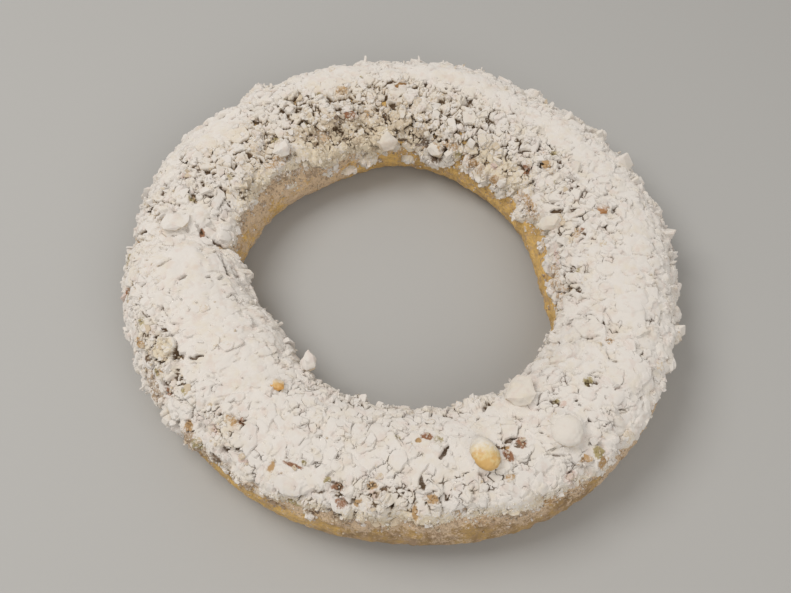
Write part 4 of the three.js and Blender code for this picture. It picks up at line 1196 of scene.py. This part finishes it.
FOOT = (0.5 * MM, 5 * MM)  # the heights between which the dough's evenness at the floor ends
BARE_FROM = 3 * MM  # how far beside the crust the dough's lumps are full
FLOUR_FADE = (0.6, 1.1)  # where a floured stretch fades out, as shares of its half-length
FLOUR_EVEN = 0.75  # how much of a stretch's flour lies everywhere, before its unevenness
FLOUR_SPILT = 7 * MM  # how far beside the crust sugar is spilt on the dough
FLOUR_MOST = 1.6  # the most flour that counts
BAKED = 0.3  # how much browner the dough is on its most baked stretch
BAKED_FROM = (245, 265)  # the angles between which that stretch starts, on the outer side
BAKED_TO = 320  # and the angle at which it ends


def moved(mesh, places, facing, amounts):
    """Moves a mesh's points along the given directions, but not below the floor, and gives their places."""
    places = places + facing * amounts[:, None]
    places[:, 2] = np.maximum(places[:, 2], 0)
    set_coordinates(mesh, places)
    return places


class WREATH_OT_dough(bpy.types.Operator):
    """Shape the ring of baked dough from its solid"""

    bl_idname = "wreath.dough"
    bl_label = "Dough"

    def execute(self, context):
        settings = context.scene.wreath_dough
        mesh = smoothed(DOUGH, "dough")
        places = coordinates(mesh)
        facing = normals(mesh)
        off_floor = smooth_share(places[:, 2], *FOOT)
        swell = settings.swell * (uneven(places, "dough swell") + uneven(places, "dough dents"))
        swell += settings.wrinkle * uneven(places, "dough wrinkles")
        places = moved(mesh, places, facing, swell * off_floor)
        roll = bench["roll"] = Roll(mesh)
        angle, side, beside = roll.beside(places)
        bare = smooth_share(beside, 0, BARE_FROM) * off_floor
        places = moved(mesh, places, facing, settings.lumps * uneven(places, "dough lumps") * bare)
        dusting = np.zeros(len(places))
        for middle, on_side, reach, amount in FLOURED:
            off = np.abs((angle - middle + 180) % 360 - 180) / reach
            floured = amount * (1 - smooth_share(off, *FLOUR_FADE)) * (side == on_side)
            dusting = np.maximum(dusting, floured)
        patchy = FLOUR_EVEN + uneven(places, "flour")
        spilt = 0.7 * (1 - smooth_share(beside, 0, FLOUR_SPILT)) * (0.3 + dusting)
        store(mesh, "flour", np.clip(dusting * patchy + spilt, 0, FLOUR_MOST))
        baked = smooth_share(angle, *BAKED_FROM) * (angle < BAKED_TO)
        store(mesh, "baked", np.where(side > 0, BAKED, 0.0) * baked)
        new_piece("dough", mesh, dough_material(settings), "dough", DOUGH)
        return {"FINISHED"}


# ---------------------------------------------------------------- the crust


def tube(name, places, facing, values):
    """A tube with closed ends through a grid of points, which keeps the given normals and values."""
    columns, rows = places.shape[0] - 1, places.shape[1] - 1
    bm = bmesh.new()
    bmesh.ops.create_grid(bm, x_segments=columns, y_segments=rows, size=0.5)
    mesh = mesh_from(bm, "grid")
    across = ((coordinates(mesh)[:, :2] + 0.5) * (columns, rows)).round().astype(int)
    column, row = across.T
    set_coordinates(mesh, places[column, row])
    for key, field in values.items():
        store(mesh, key, field[column, row])
    store(mesh, "facing", facing[column, row])
    bm = bmesh.new()
    bm.from_mesh(mesh)
    bpy.data.meshes.remove(mesh)
    bmesh.ops.remove_doubles(bm, verts=bm.verts, dist=WELD_TUBE)
    rims = [edge for edge in bm.edges if edge.is_boundary]
    bmesh.ops.holes_fill(bm, edges=rims, sides=0)
    bmesh.ops.recalc_face_normals(bm, faces=bm.faces)
    return mesh_from(bm, name)


class WREATH_OT_crust(bpy.types.Operator):
    """Lay the bed of nut plates and powdered sugar over the dough"""

    bl_idname = "wreath.crust"
    bl_label = "Crust"

    def execute(self, context):
        settings = context.scene.wreath_crust
        roll = from_bench("roll", "dough")
        heap = bench["heap"] = Heap(roll, settings)
        material = bench["crust material"] = crust_material(settings, "sugar_and_nuts")
        under = np.linspace(ROWS - 1, 0, UNDER_ROWS + 2)[1:-1].round().astype(int)
        round_the_roll = np.concatenate([np.arange(ROWS), under, [0]])
        buried = np.concatenate([np.zeros(ROWS, bool), np.ones(UNDER_ROWS, bool), [False]])
        height = np.where(buried, -UNDER_DEPTH, heap.height[:, round_the_roll])
        places = roll.surface[:, round_the_roll] + roll.outwards[:, round_the_roll] * height[..., None]
        onwards = np.roll(places, -1, axis=0) - np.roll(places, 1, axis=0)
        facing = np.cross(onwards, np.gradient(places, axis=1))
        facing /= np.linalg.norm(facing, axis=-1, keepdims=True)
        stretch = COLUMNS // PARTS
        for number in range(PARTS):
            part = (np.arange(stretch + 1) + number * stretch) % COLUMNS
            values = {key: field[part][:, round_the_roll] for key, field in heap.values().items()}
            mesh = tube(f"crust_{number + 1}", places[part], facing[part], values)
            new_piece(mesh.name, mesh, material, "sugar_crust", *([CRUST] if number == 0 else []))
            directions = read(mesh.attributes["facing"].data, "vector", 3)
            mesh.normals_split_custom_set_from_vertices(directions)
            mesh.attributes.remove(mesh.attributes["facing"])
        return {"FINISHED"}


# ---------------------------------------------------------------- loose pieces

CHOPPED_WIDTHS = (0.55, 0.9)  # of the block that a piece is chopped from, as shares of its length
CHOPPED_SIDES = (0.2, 0.42)  # how far from the middle its sides are cut
CHOPPED_TOPS = (0.25, 0.45)  # and its top, as shares of its thickness
CHOPPED_SLANT = 0.35  # how far the top slants at most
CHOPPED_LEAN = 0.5  # how far the sides lean
UNDERSIDES = 0.6  # how dusty a piece's underside is, as a share of its top
FACING_UP = (-0.35, 0.35)  # how far up a face has to face to count as underside, and as top

ROUGH_KERNELS = (0.6, 0.15)  # how deep the dents of the kernels are, and their grain, in millimetres
ROUGH_CHUNKS = (0.9, 0.3)  # and those of the other pieces
DENTS = 4.5 * MM  # how large the dents are
GRAIN = 1.5 * MM  # and the grain
GRAIN_SEED = 50
CHUNK_CUTS = 7  # how finely a piece's edges are divided
CHUNK_FLAT = math.radians(3)  # faces of a piece that are this even are one face
DUSTED_SIDE = 1.6  # how much more dust a bare nut has on its far side than on its near one
TONED_SIDE = -3  # and its tone there, of which less is paler
KERNEL_UNDERSIDES = 0.3  # how dusty the undersides of the big pieces are, as a share of their tops
KERNEL_FACING_UP = (-0.3, 0.5)  # how far up they have to face to count as underside, and as top

SLAB_SPREAD = 0.35  # how much the slabs' lengths vary
SLAB_SPANS = (2.6 * MM, 10 * MM)  # the least and the greatest
SLAB_TILT = math.radians(13)
SLAB_PROPORTIONS = np.array([1.0, 1.0, 0.8])
SLAB_SIZES = (0.8, 1.1)  # how much their lengths, widths and thicknesses vary on top

SPLINTER_SPREAD = 0.3  # how much the splinters' lengths vary
SPLINTER_WIDTHS = (0.35, 0.7)  # and their widths and thicknesses, as shares of the length
SPLINTER_LEANS = (25, 75)  # how far up from level they point, in degrees
SPLINTER_LEVEL = (1, 1, 0.15)  # what is kept of the surface's direction to make it nearly level
SPLINTER_AWAY = 0.5  # how far sideways they point at most
SPLINTER_SPIN = 0.5  # how far they are turned about their own length
SPLINTER_LIFT = 0.04  # how far out of the heap a splinter's middle is, as a share of its length
JUTTING_SUNK = 0.15  # and how much deeper a listed piece sits
JUTTING_LYING = 2.2  # listed pieces less long than this many widths lie across
JUTTING_FILL = (0.72, 0.68, 0.4)  # how much of its unit length, width and thickness a chopped shape fills

CRUMB_BLOCK = 0.8  # the size of the block that a crumb is knocked from
CRUMB_CORNERS = (0.6, 1.15)  # and how far out its corners are then


def cut_off(bm, place, facing):
    """Cuts away what lies beyond a plane and closes the cut."""
    parts = bm.verts[:] + bm.edges[:] + bm.faces[:]
    cut = bmesh.ops.bisect_plane(
        bm, geom=parts, dist=WELD_CUT, plane_co=place, plane_no=facing, clear_outer=True
    )
    rim = [part for part in cut["geom_cut"] if isinstance(part, bmesh.types.BMEdge)]
    if rim:
        bmesh.ops.edgeloop_fill(bm, edges=rim)


def chopped(random, cuts, thickness, knock):
    """A piece about one unit long, chopped from a block by flat cuts, with a slanted top."""
    bm = bmesh.new()
    bmesh.ops.create_cube(bm, size=1.0)
    bmesh.ops.scale(bm, verts=bm.verts, vec=(1.0, random.uniform(*CHOPPED_WIDTHS), thickness))
    for number in range(cuts):
        turn = 2 * math.pi * (number + random.uniform(-0.4, 0.4)) / cuts
        facing = Vector((math.cos(turn), math.sin(turn), random.normal(0, CHOPPED_LEAN))).normalized()
        cut_off(bm, facing * random.uniform(*CHOPPED_SIDES), facing)
    slant = Vector((*random.uniform(-CHOPPED_SLANT, CHOPPED_SLANT, 2), 1.0)).normalized()
    cut_off(bm, slant * thickness * random.uniform(*CHOPPED_TOPS), slant)
    if knock:
        edges = bm.edges[:]
        bmesh.ops.bevel(bm, geom=edges, offset=knock, segments=1, profile=0.5, affect="EDGES", material=-1)
    bmesh.ops.recalc_face_normals(bm, faces=bm.faces)
    bmesh.ops.triangulate(bm, faces=bm.faces)
    return bm


def pattern(bm):
    """A small shape as arrays of its points, their normals and its triangles, in the same order each run."""
    bm.verts.index_update()
    bm.normal_update()
    points = np.array([vert.co for vert in bm.verts])
    facing = np.array([vert.normal for vert in bm.verts])
    faces = np.array([[vert.index for vert in face.verts] for face in bm.faces])
    bm.free()
    order = np.lexsort(points.T)
    faces = np.argsort(order)[faces]
    first = faces.argmin(axis=1)[:, None]
    faces = np.take_along_axis(faces, (first + np.arange(3)) % 3, axis=1)
    return points[order], facing[order], faces[np.lexsort(faces.T)]


def chopped_shapes(random, kind):
    """The patterns of a kind of loose piece."""
    count, *cuts = SHAPES[kind]
    return [pattern(chopped(random, *cuts)) for _ in range(count)]


def standing(facing, along, spin):
    """Frames that stand on a surface, turned by spin, as matrices of three columns."""
    side = np.cross(facing, along)
    side /= np.linalg.norm(side, axis=-1, keepdims=True)
    front = np.cross(side, facing)
    cos, sin = np.cos(spin)[:, None], np.sin(spin)[:, None]
    return np.stack([front * cos + side * sin, side * cos - front * sin, facing], axis=-1)


def tipped(facing, along, tilt, towards):
    """Directions tilted away from the surface's own, by an angle each, towards an angle each."""
    side = np.cross(facing, along)
    lean = along * np.cos(towards)[:, None] + side * np.sin(towards)[:, None]
    return facing * np.cos(tilt)[:, None] + lean * np.sin(tilt)[:, None]


def joined(name, patterns, picks, places, frames, sizes, values):
    """One mesh of many copies of a few patterns, each with its own place, frame, size and values."""
    points, owners, faces, upward = [], [], [], []
    count = 0
    for number, (shape, facing, triangles) in enumerate(patterns):
        own = np.flatnonzero(picks == number)
        local = shape[None] * sizes[own][:, None]
        points.append((np.einsum("nij,nvj->nvi", frames[own], local) + places[own][:, None]).reshape(-1, 3))
        upward.append(np.einsum("nj,vj->nv", frames[own][:, 2], facing).ravel())
        owners.append(np.repeat(own, len(shape)))
        starts = count + np.arange(len(own)) * len(shape)
        faces.append((triangles[None] + starts[:, None, None]).reshape(-1, 3))
        count += len(own) * len(shape)
    mesh = bpy.data.meshes.new(name)
    mesh.from_pydata(np.concatenate(points), [], np.concatenate(faces))
    mesh.shade_smooth()
    owners = np.concatenate(owners)
    for key, value in values.items():
        store(mesh, key, value[owners])
    dust = mesh.attributes["dust"].data
    topmost = smooth_share(np.concatenate(upward), *FACING_UP)
    powder = read(dust, "value", 1)[:, 0] * (UNDERSIDES + (1 - UNDERSIDES) * topmost)
    dust.foreach_set("value", powder.astype(np.float32))
    return mesh


def sugared_piece(mesh):
    """A finished piece of many sugared pieces of nut, with crisp edges."""
    mesh.set_sharp_from_angle(angle=SHARP)
    new_piece(mesh.name, mesh, from_bench("crust material", "crust"), "sugar_crust")


def finely_divided(node, name):
    """A CAD node with its faces divided, so that it can be roughened."""
    bm = welded(node)
    bmesh.ops.dissolve_limit(bm, angle_limit=CHUNK_FLAT, verts=bm.verts, edges=bm.edges)
    bmesh.ops.triangulate(bm, faces=bm.faces)
    bmesh.ops.subdivide_edges(bm, edges=bm.edges[:], cuts=CHUNK_CUTS, use_grid_fill=True)
    return mesh_from(bm, name)


class WREATH_OT_nuts(bpy.types.Operator):
    """Finish the whole kernels and the big pieces that stand out of the crust"""

    bl_idname = "wreath.nuts"
    bl_label = "Kernels and chunks"

    def execute(self, context):
        pieces = context.scene.wreath_pieces
        crust = context.scene.wreath_crust
        powdered = from_bench("crust material", "crust")
        bare = {
            "bare_kernel": (nut_material("bare_kernel", pieces.kernel, crust, 0.5), "bare_nut", 0.5),
            "gold_chip": (nut_material("gold_chip", pieces.gold, crust, 0.45), "gold_nut", 0.35),
            "amber_chip": (nut_material("amber_chip", pieces.amber, crust, 0.4), "amber_nut", 0.2),
            "brown_chip": (nut_material("brown_chip", pieces.brown, crust, 0.6), "brown_nut", 0.7),
        }
        for seed, node in enumerate((*KERNELS, *CHUNKS)):
            material, slot, dust = bare.get(node, (powdered, "sugar_crust", 1.0))
            mesh = (smoothed if node in KERNELS else finely_divided)(node, f"{node}_nut")
            mesh.set_sharp_from_angle(angle=SHARP if node in KERNELS else SHARP / 2)
            places, facing = coordinates(mesh), normals(mesh)
            rough, fine = ROUGH_KERNELS if node in KERNELS else ROUGH_CHUNKS
            relief = rough * layered(places, DENTS, seed) + fine * layered(places, GRAIN, seed + GRAIN_SEED)
            moved(mesh, places, facing, relief * MM)
            spread = (places[:, 1] - places[:, 1].mean()) / np.ptp(places[:, 1])
            dusting = dust + (0 if material is powdered else DUSTED_SIDE) * spread
            topmost = smooth_share(facing[:, 2], *KERNEL_FACING_UP)
            upward = KERNEL_UNDERSIDES + (1 - KERNEL_UNDERSIDES) * topmost
            store(mesh, "dust", np.clip(dusting, 0, 1) * upward)
            store(mesh, "hollow", np.zeros(len(places)))
            tone = np.full(len(places), seed % 3) if material is powdered else TONED_SIDE * spread
            store(mesh, "tone", tone)
            store(mesh, "stain", np.zeros((len(places), 4)))
            new_piece(f"{node}_nut", mesh, material, slot, node)
        return {"FINISHED"}


class WREATH_OT_slabs(bpy.types.Operator):
    """Lay the large broken plates on the crust, each half sunk in the sugar with an edge raised"""

    bl_idname = "wreath.slabs"
    bl_label = "Slabs"

    def execute(self, context):
        settings = context.scene.wreath_pieces
        heap = from_bench("heap", "crust")
        random = np.random.default_rng(SEEDS["slabs"])
        patterns = chopped_shapes(random, "slabs")
        weight = (0.15 + heap.loose) * heap.zone("slabs") * heap.unbroken()
        columns, rows = heap.spots(random, weight, settings.slabs)
        spans = settings.slab * np.exp(random.normal(0, SLAB_SPREAD, settings.slabs))
        spans = np.clip(spans, *SLAB_SPANS)
        spins = random.uniform(0, 2 * math.pi, settings.slabs)
        tilts = np.abs(random.normal(0, SLAB_TILT, settings.slabs))
        towards = random.uniform(0, 2 * math.pi, settings.slabs)
        laid = [heap.rest_on(*spot) for spot in zip(columns, rows, spans, tilts, towards)]
        places = np.array([place for place, _ in laid])
        facing = np.array([up for _, up in laid])
        frames = standing(facing, heap.roll.onwards[columns, rows], spins)
        sizes = spans[:, None] * SLAB_PROPORTIONS * random.uniform(*SLAB_SIZES, (settings.slabs, 3))
        values = heap.chip_values(random, columns, rows, bare=0.02)
        picks = random.integers(0, len(patterns), settings.slabs)
        mesh = joined("nut_slabs", patterns, picks, places, frames, sizes, values)
        sugared_piece(mesh)
        return {"FINISHED"}


class WREATH_OT_splinters(bpy.types.Operator):
    """Stand the thin splinters that jut out of the crust, most of them along its edges"""

    bl_idname = "wreath.splinters"
    bl_label = "Splinters"

    def execute(self, context):
        settings = context.scene.wreath_pieces
        heap = from_bench("heap", "crust")
        roll = heap.roll
        random = np.random.default_rng(SEEDS["splinters"])
        patterns = chopped_shapes(random, "splinters")
        edge = 1 - heap.zone("few splinters")
        rims = heap.zone("splinters") * (0.15 + heap.loose + edge) * (1 - heap.powdery)
        columns, rows = heap.spots(random, rims, settings.splinters)
        placed = [roll.grid_place(angle, turn) for angle, turn, *_ in JUTTING]
        columns = np.concatenate([columns, [column for column, _ in placed]])
        rows = np.concatenate([rows, [row for _, row in placed]])
        count, listed = len(columns), len(JUTTING)
        spans = settings.splinter * np.exp(random.normal(0, SPLINTER_SPREAD, count))
        widths = random.uniform(*SPLINTER_WIDTHS, (2, count))
        sizes = spans[:, None] * np.stack([np.ones(count), *widths], axis=1)
        listed_sizes = np.array([row[2:5] for row in JUTTING]) * MM
        lying = listed_sizes[:, 0] < JUTTING_LYING * listed_sizes[:, 1]
        listed_sizes[lying, :2] = listed_sizes[lying, 1::-1]
        sizes[-listed:] = listed_sizes / JUTTING_FILL
        lean = np.radians(random.uniform(*SPLINTER_LEANS, count))
        lean[-listed:] = np.radians([row[5] for row in JUTTING])
        out = roll.outwards[columns, rows]
        level = out * SPLINTER_LEVEL
        level /= np.linalg.norm(level, axis=1, keepdims=True)
        away = random.uniform(0, SPLINTER_AWAY, count)
        towards = random.uniform(0, 2 * math.pi, count)
        along = tipped(level, roll.onwards[columns, rows], away, towards)
        jut = along * np.cos(lean)[:, None] + out * np.sin(lean)[:, None]
        jut /= np.linalg.norm(jut, axis=1, keepdims=True)
        spins = random.normal(0, SPLINTER_SPIN, count) - math.pi / 2
        frames = standing(jut, roll.onwards[columns, rows], spins)[:, :, [2, 0, 1]]
        lift = np.maximum(heap.height[columns, rows], 0) + SPLINTER_LIFT * sizes[:, 0]
        lift[-listed:] -= JUTTING_SUNK * sizes[-listed:, 0]
        places = roll.surface[columns, rows] + out * lift[:, None]
        values = heap.chip_values(random, columns, rows, bare=0.06)
        values["dust"][-listed:] = 1.0
        picks = random.integers(0, len(patterns), count)
        mesh = joined("nut_splinters", patterns, picks, places, frames, sizes, values)
        sugared_piece(mesh)
        return {"FINISHED"}


class WREATH_OT_shards(bpy.types.Operator):
    """Scatter the middling pieces of nut, thickest at the crust's edges and on broken stretches"""

    bl_idname = "wreath.shards"
    bl_label = "Shards"

    def execute(self, context):
        settings = context.scene.wreath_pieces
        heap = from_bench("heap", "crust")
        random = np.random.default_rng(SEEDS["shards"])
        patterns = chopped_shapes(random, "shards")
        weight = heap.broken + 1.2 * heap.zone("rim shards") + 0.5 * heap.stain[..., 3]
        weight = weight * heap.zone("shards") * heap.unbroken()
        count, size = settings.shards, settings.shard
        mesh = heap.scattered("nut_shards", random, patterns, weight, count, size, tilt=24, bare=0.10)
        sugared_piece(mesh)
        return {"FINISHED"}


class WREATH_OT_crumbs(bpy.types.Operator):
    """Scatter the crumbs, over broken and stained stretches and over the dough beside the crust"""

    bl_idname = "wreath.crumbs"
    bl_label = "Crumbs"

    def execute(self, context):
        settings = context.scene.wreath_pieces
        heap = from_bench("heap", "crust")
        random = np.random.default_rng(SEEDS["crumbs"])
        patterns = []
        for _ in range(CRUMB_SHAPES):
            bm = bmesh.new()
            bmesh.ops.create_cube(bm, size=CRUMB_BLOCK)
            for vert in bm.verts:
                vert.co *= random.uniform(*CRUMB_CORNERS)
            bmesh.ops.triangulate(bm, faces=bm.faces)
            patterns.append(pattern(bm))
        weight = (0.02 + 0.35 * heap.broken + 1.5 * heap.stain[..., 3]) * heap.zone("crumbs")
        weight = weight + 0.8 * heap.zone("rim crumbs") + 0.05
        count, size = settings.crumbs, settings.crumb
        mesh = heap.scattered("nut_crumbs", random, patterns, weight, count, size, tilt=40, bare=0.12)
        sugared_piece(mesh)
        return {"FINISHED"}


# ---------------------------------------------------------------- the stage

FLOOR_SIZE = 20.0
FLOOR_ROUGHNESS = 0.8
SKY_TINT = (1.0, 0.97, 0.925, 1.0)
SKY_STRENGTH = 0.38
LIGHTS = {  # where each stands, how wide it is, its power and its tint
    "key": ((-0.65, 0.12, 1.2), 0.8, 9.35, (1.0, 0.98, 0.945)),
    "fill": ((0.5, -1.0, 1.1), 1.2, 6.6, (1.0, 0.975, 0.93)),
}
AIMED_AT = (-2.1 * MM, -10.9 * MM)  # where the camera points, off the wreath's middle
AIMED_HEIGHT = 20 * MM
SENSOR = 36.0  # width in millimetres
NEAREST_SEEN = 0.01


def aim(item, target):
    item.rotation_euler = (Vector(target) - item.location).to_track_quat("-Z", "Y").to_euler()


def area_light(name, target):
    place, size, power, tint = LIGHTS[name]
    data = bpy.data.lights.new(name, "AREA")
    data.shape = "DISK"
    data.size = size
    data.energy = power
    data.color = tint
    light = bpy.data.objects.new(name, data)
    light.location = place
    bpy.context.scene.collection.objects.link(light)
    aim(light, target)


class WREATH_OT_stage(bpy.types.Operator):
    """Set the floor, the lights and the camera"""

    bl_idname = "wreath.stage"
    bl_label = "Stage"

    def execute(self, context):
        scene = context.scene
        settings = scene.wreath_stage
        low, high = CAD_BOX
        middle = (low + high) / 2
        bm = bmesh.new()
        bmesh.ops.create_grid(bm, x_segments=1, y_segments=1, size=FLOOR_SIZE)
        floor = bpy.data.objects.new("floor", mesh_from(bm, "floor"))
        scene.collection.objects.link(floor)
        material = new_material("floor")
        tree = Tree(material)
        grain = tree.bump(tree.noise("floor"), FLOOR_BUMPS, 1.0)
        tree.finish((*settings.floor, 1.0), FLOOR_ROUGHNESS, grain)
        floor.data.materials.append(material)
        world = bpy.data.worlds.new("studio")
        world.use_nodes = True
        sky = world.node_tree.nodes["Background"].inputs
        sky["Color"].default_value = SKY_TINT
        sky["Strength"].default_value = SKY_STRENGTH
        scene.world = world
        for name in LIGHTS:
            area_light(name, middle)
        lens = bpy.data.cameras.new("camera")
        lens.lens = settings.lens
        lens.sensor_width = SENSOR
        lens.clip_start = NEAREST_SEEN
        camera = bpy.data.objects.new("camera", lens)
        scene.collection.objects.link(camera)
        target = Vector((middle.x + AIMED_AT[0], middle.y + AIMED_AT[1], AIMED_HEIGHT))
        back = Vector((0, -math.cos(settings.elevation), math.sin(settings.elevation)))
        camera.location = target + back * settings.distance
        aim(camera, target)
        scene.camera = camera
        scene.view_settings.view_transform = "Standard"
        return {"FINISHED"}


# ---------------------------------------------------------------- the add-on


class WREATH_PT_panel(bpy.types.Panel):
    """The steps of making the wreath"""

    bl_label = "Wreath"
    bl_idname = "WREATH_PT_panel"
    bl_space_type = "VIEW_3D"
    bl_region_type = "UI"
    bl_category = "Wreath"

    def draw(self, context):
        for step in STEPS:
            self.layout.operator(step.bl_idname)


STEPS = (
    WREATH_OT_dough,
    WREATH_OT_crust,
    WREATH_OT_nuts,
    WREATH_OT_slabs,
    WREATH_OT_splinters,
    WREATH_OT_shards,
    WREATH_OT_crumbs,
    WREATH_OT_stage,
)
SETTINGS = {
    "wreath_dough": WreathDoughSettings,
    "wreath_crust": WreathCrustSettings,
    "wreath_pieces": WreathPiecesSettings,
    "wreath_stage": WreathStageSettings,
}


def register():
    for group in SETTINGS.values():
        bpy.utils.register_class(group)
    for name, group in SETTINGS.items():
        setattr(bpy.types.Scene, name, PointerProperty(type=group))
    for step in STEPS:
        bpy.utils.register_class(step)
    bpy.utils.register_class(WREATH_PT_panel)


def unregister():
    bpy.utils.unregister_class(WREATH_PT_panel)
    for step in reversed(STEPS):
        bpy.utils.unregister_class(step)
    for name, group in SETTINGS.items():
        delattr(bpy.types.Scene, name)
        bpy.utils.unregister_class(group)


def main():
    register()
    bpy.ops.wreath.dough()
    bpy.ops.wreath.crust()
    bpy.ops.wreath.nuts()
    bpy.ops.wreath.slabs()
    bpy.ops.wreath.splinters()
    bpy.ops.wreath.shards()
    bpy.ops.wreath.crumbs()
    bpy.ops.wreath.stage()


if __name__ == "__main__":
    main()
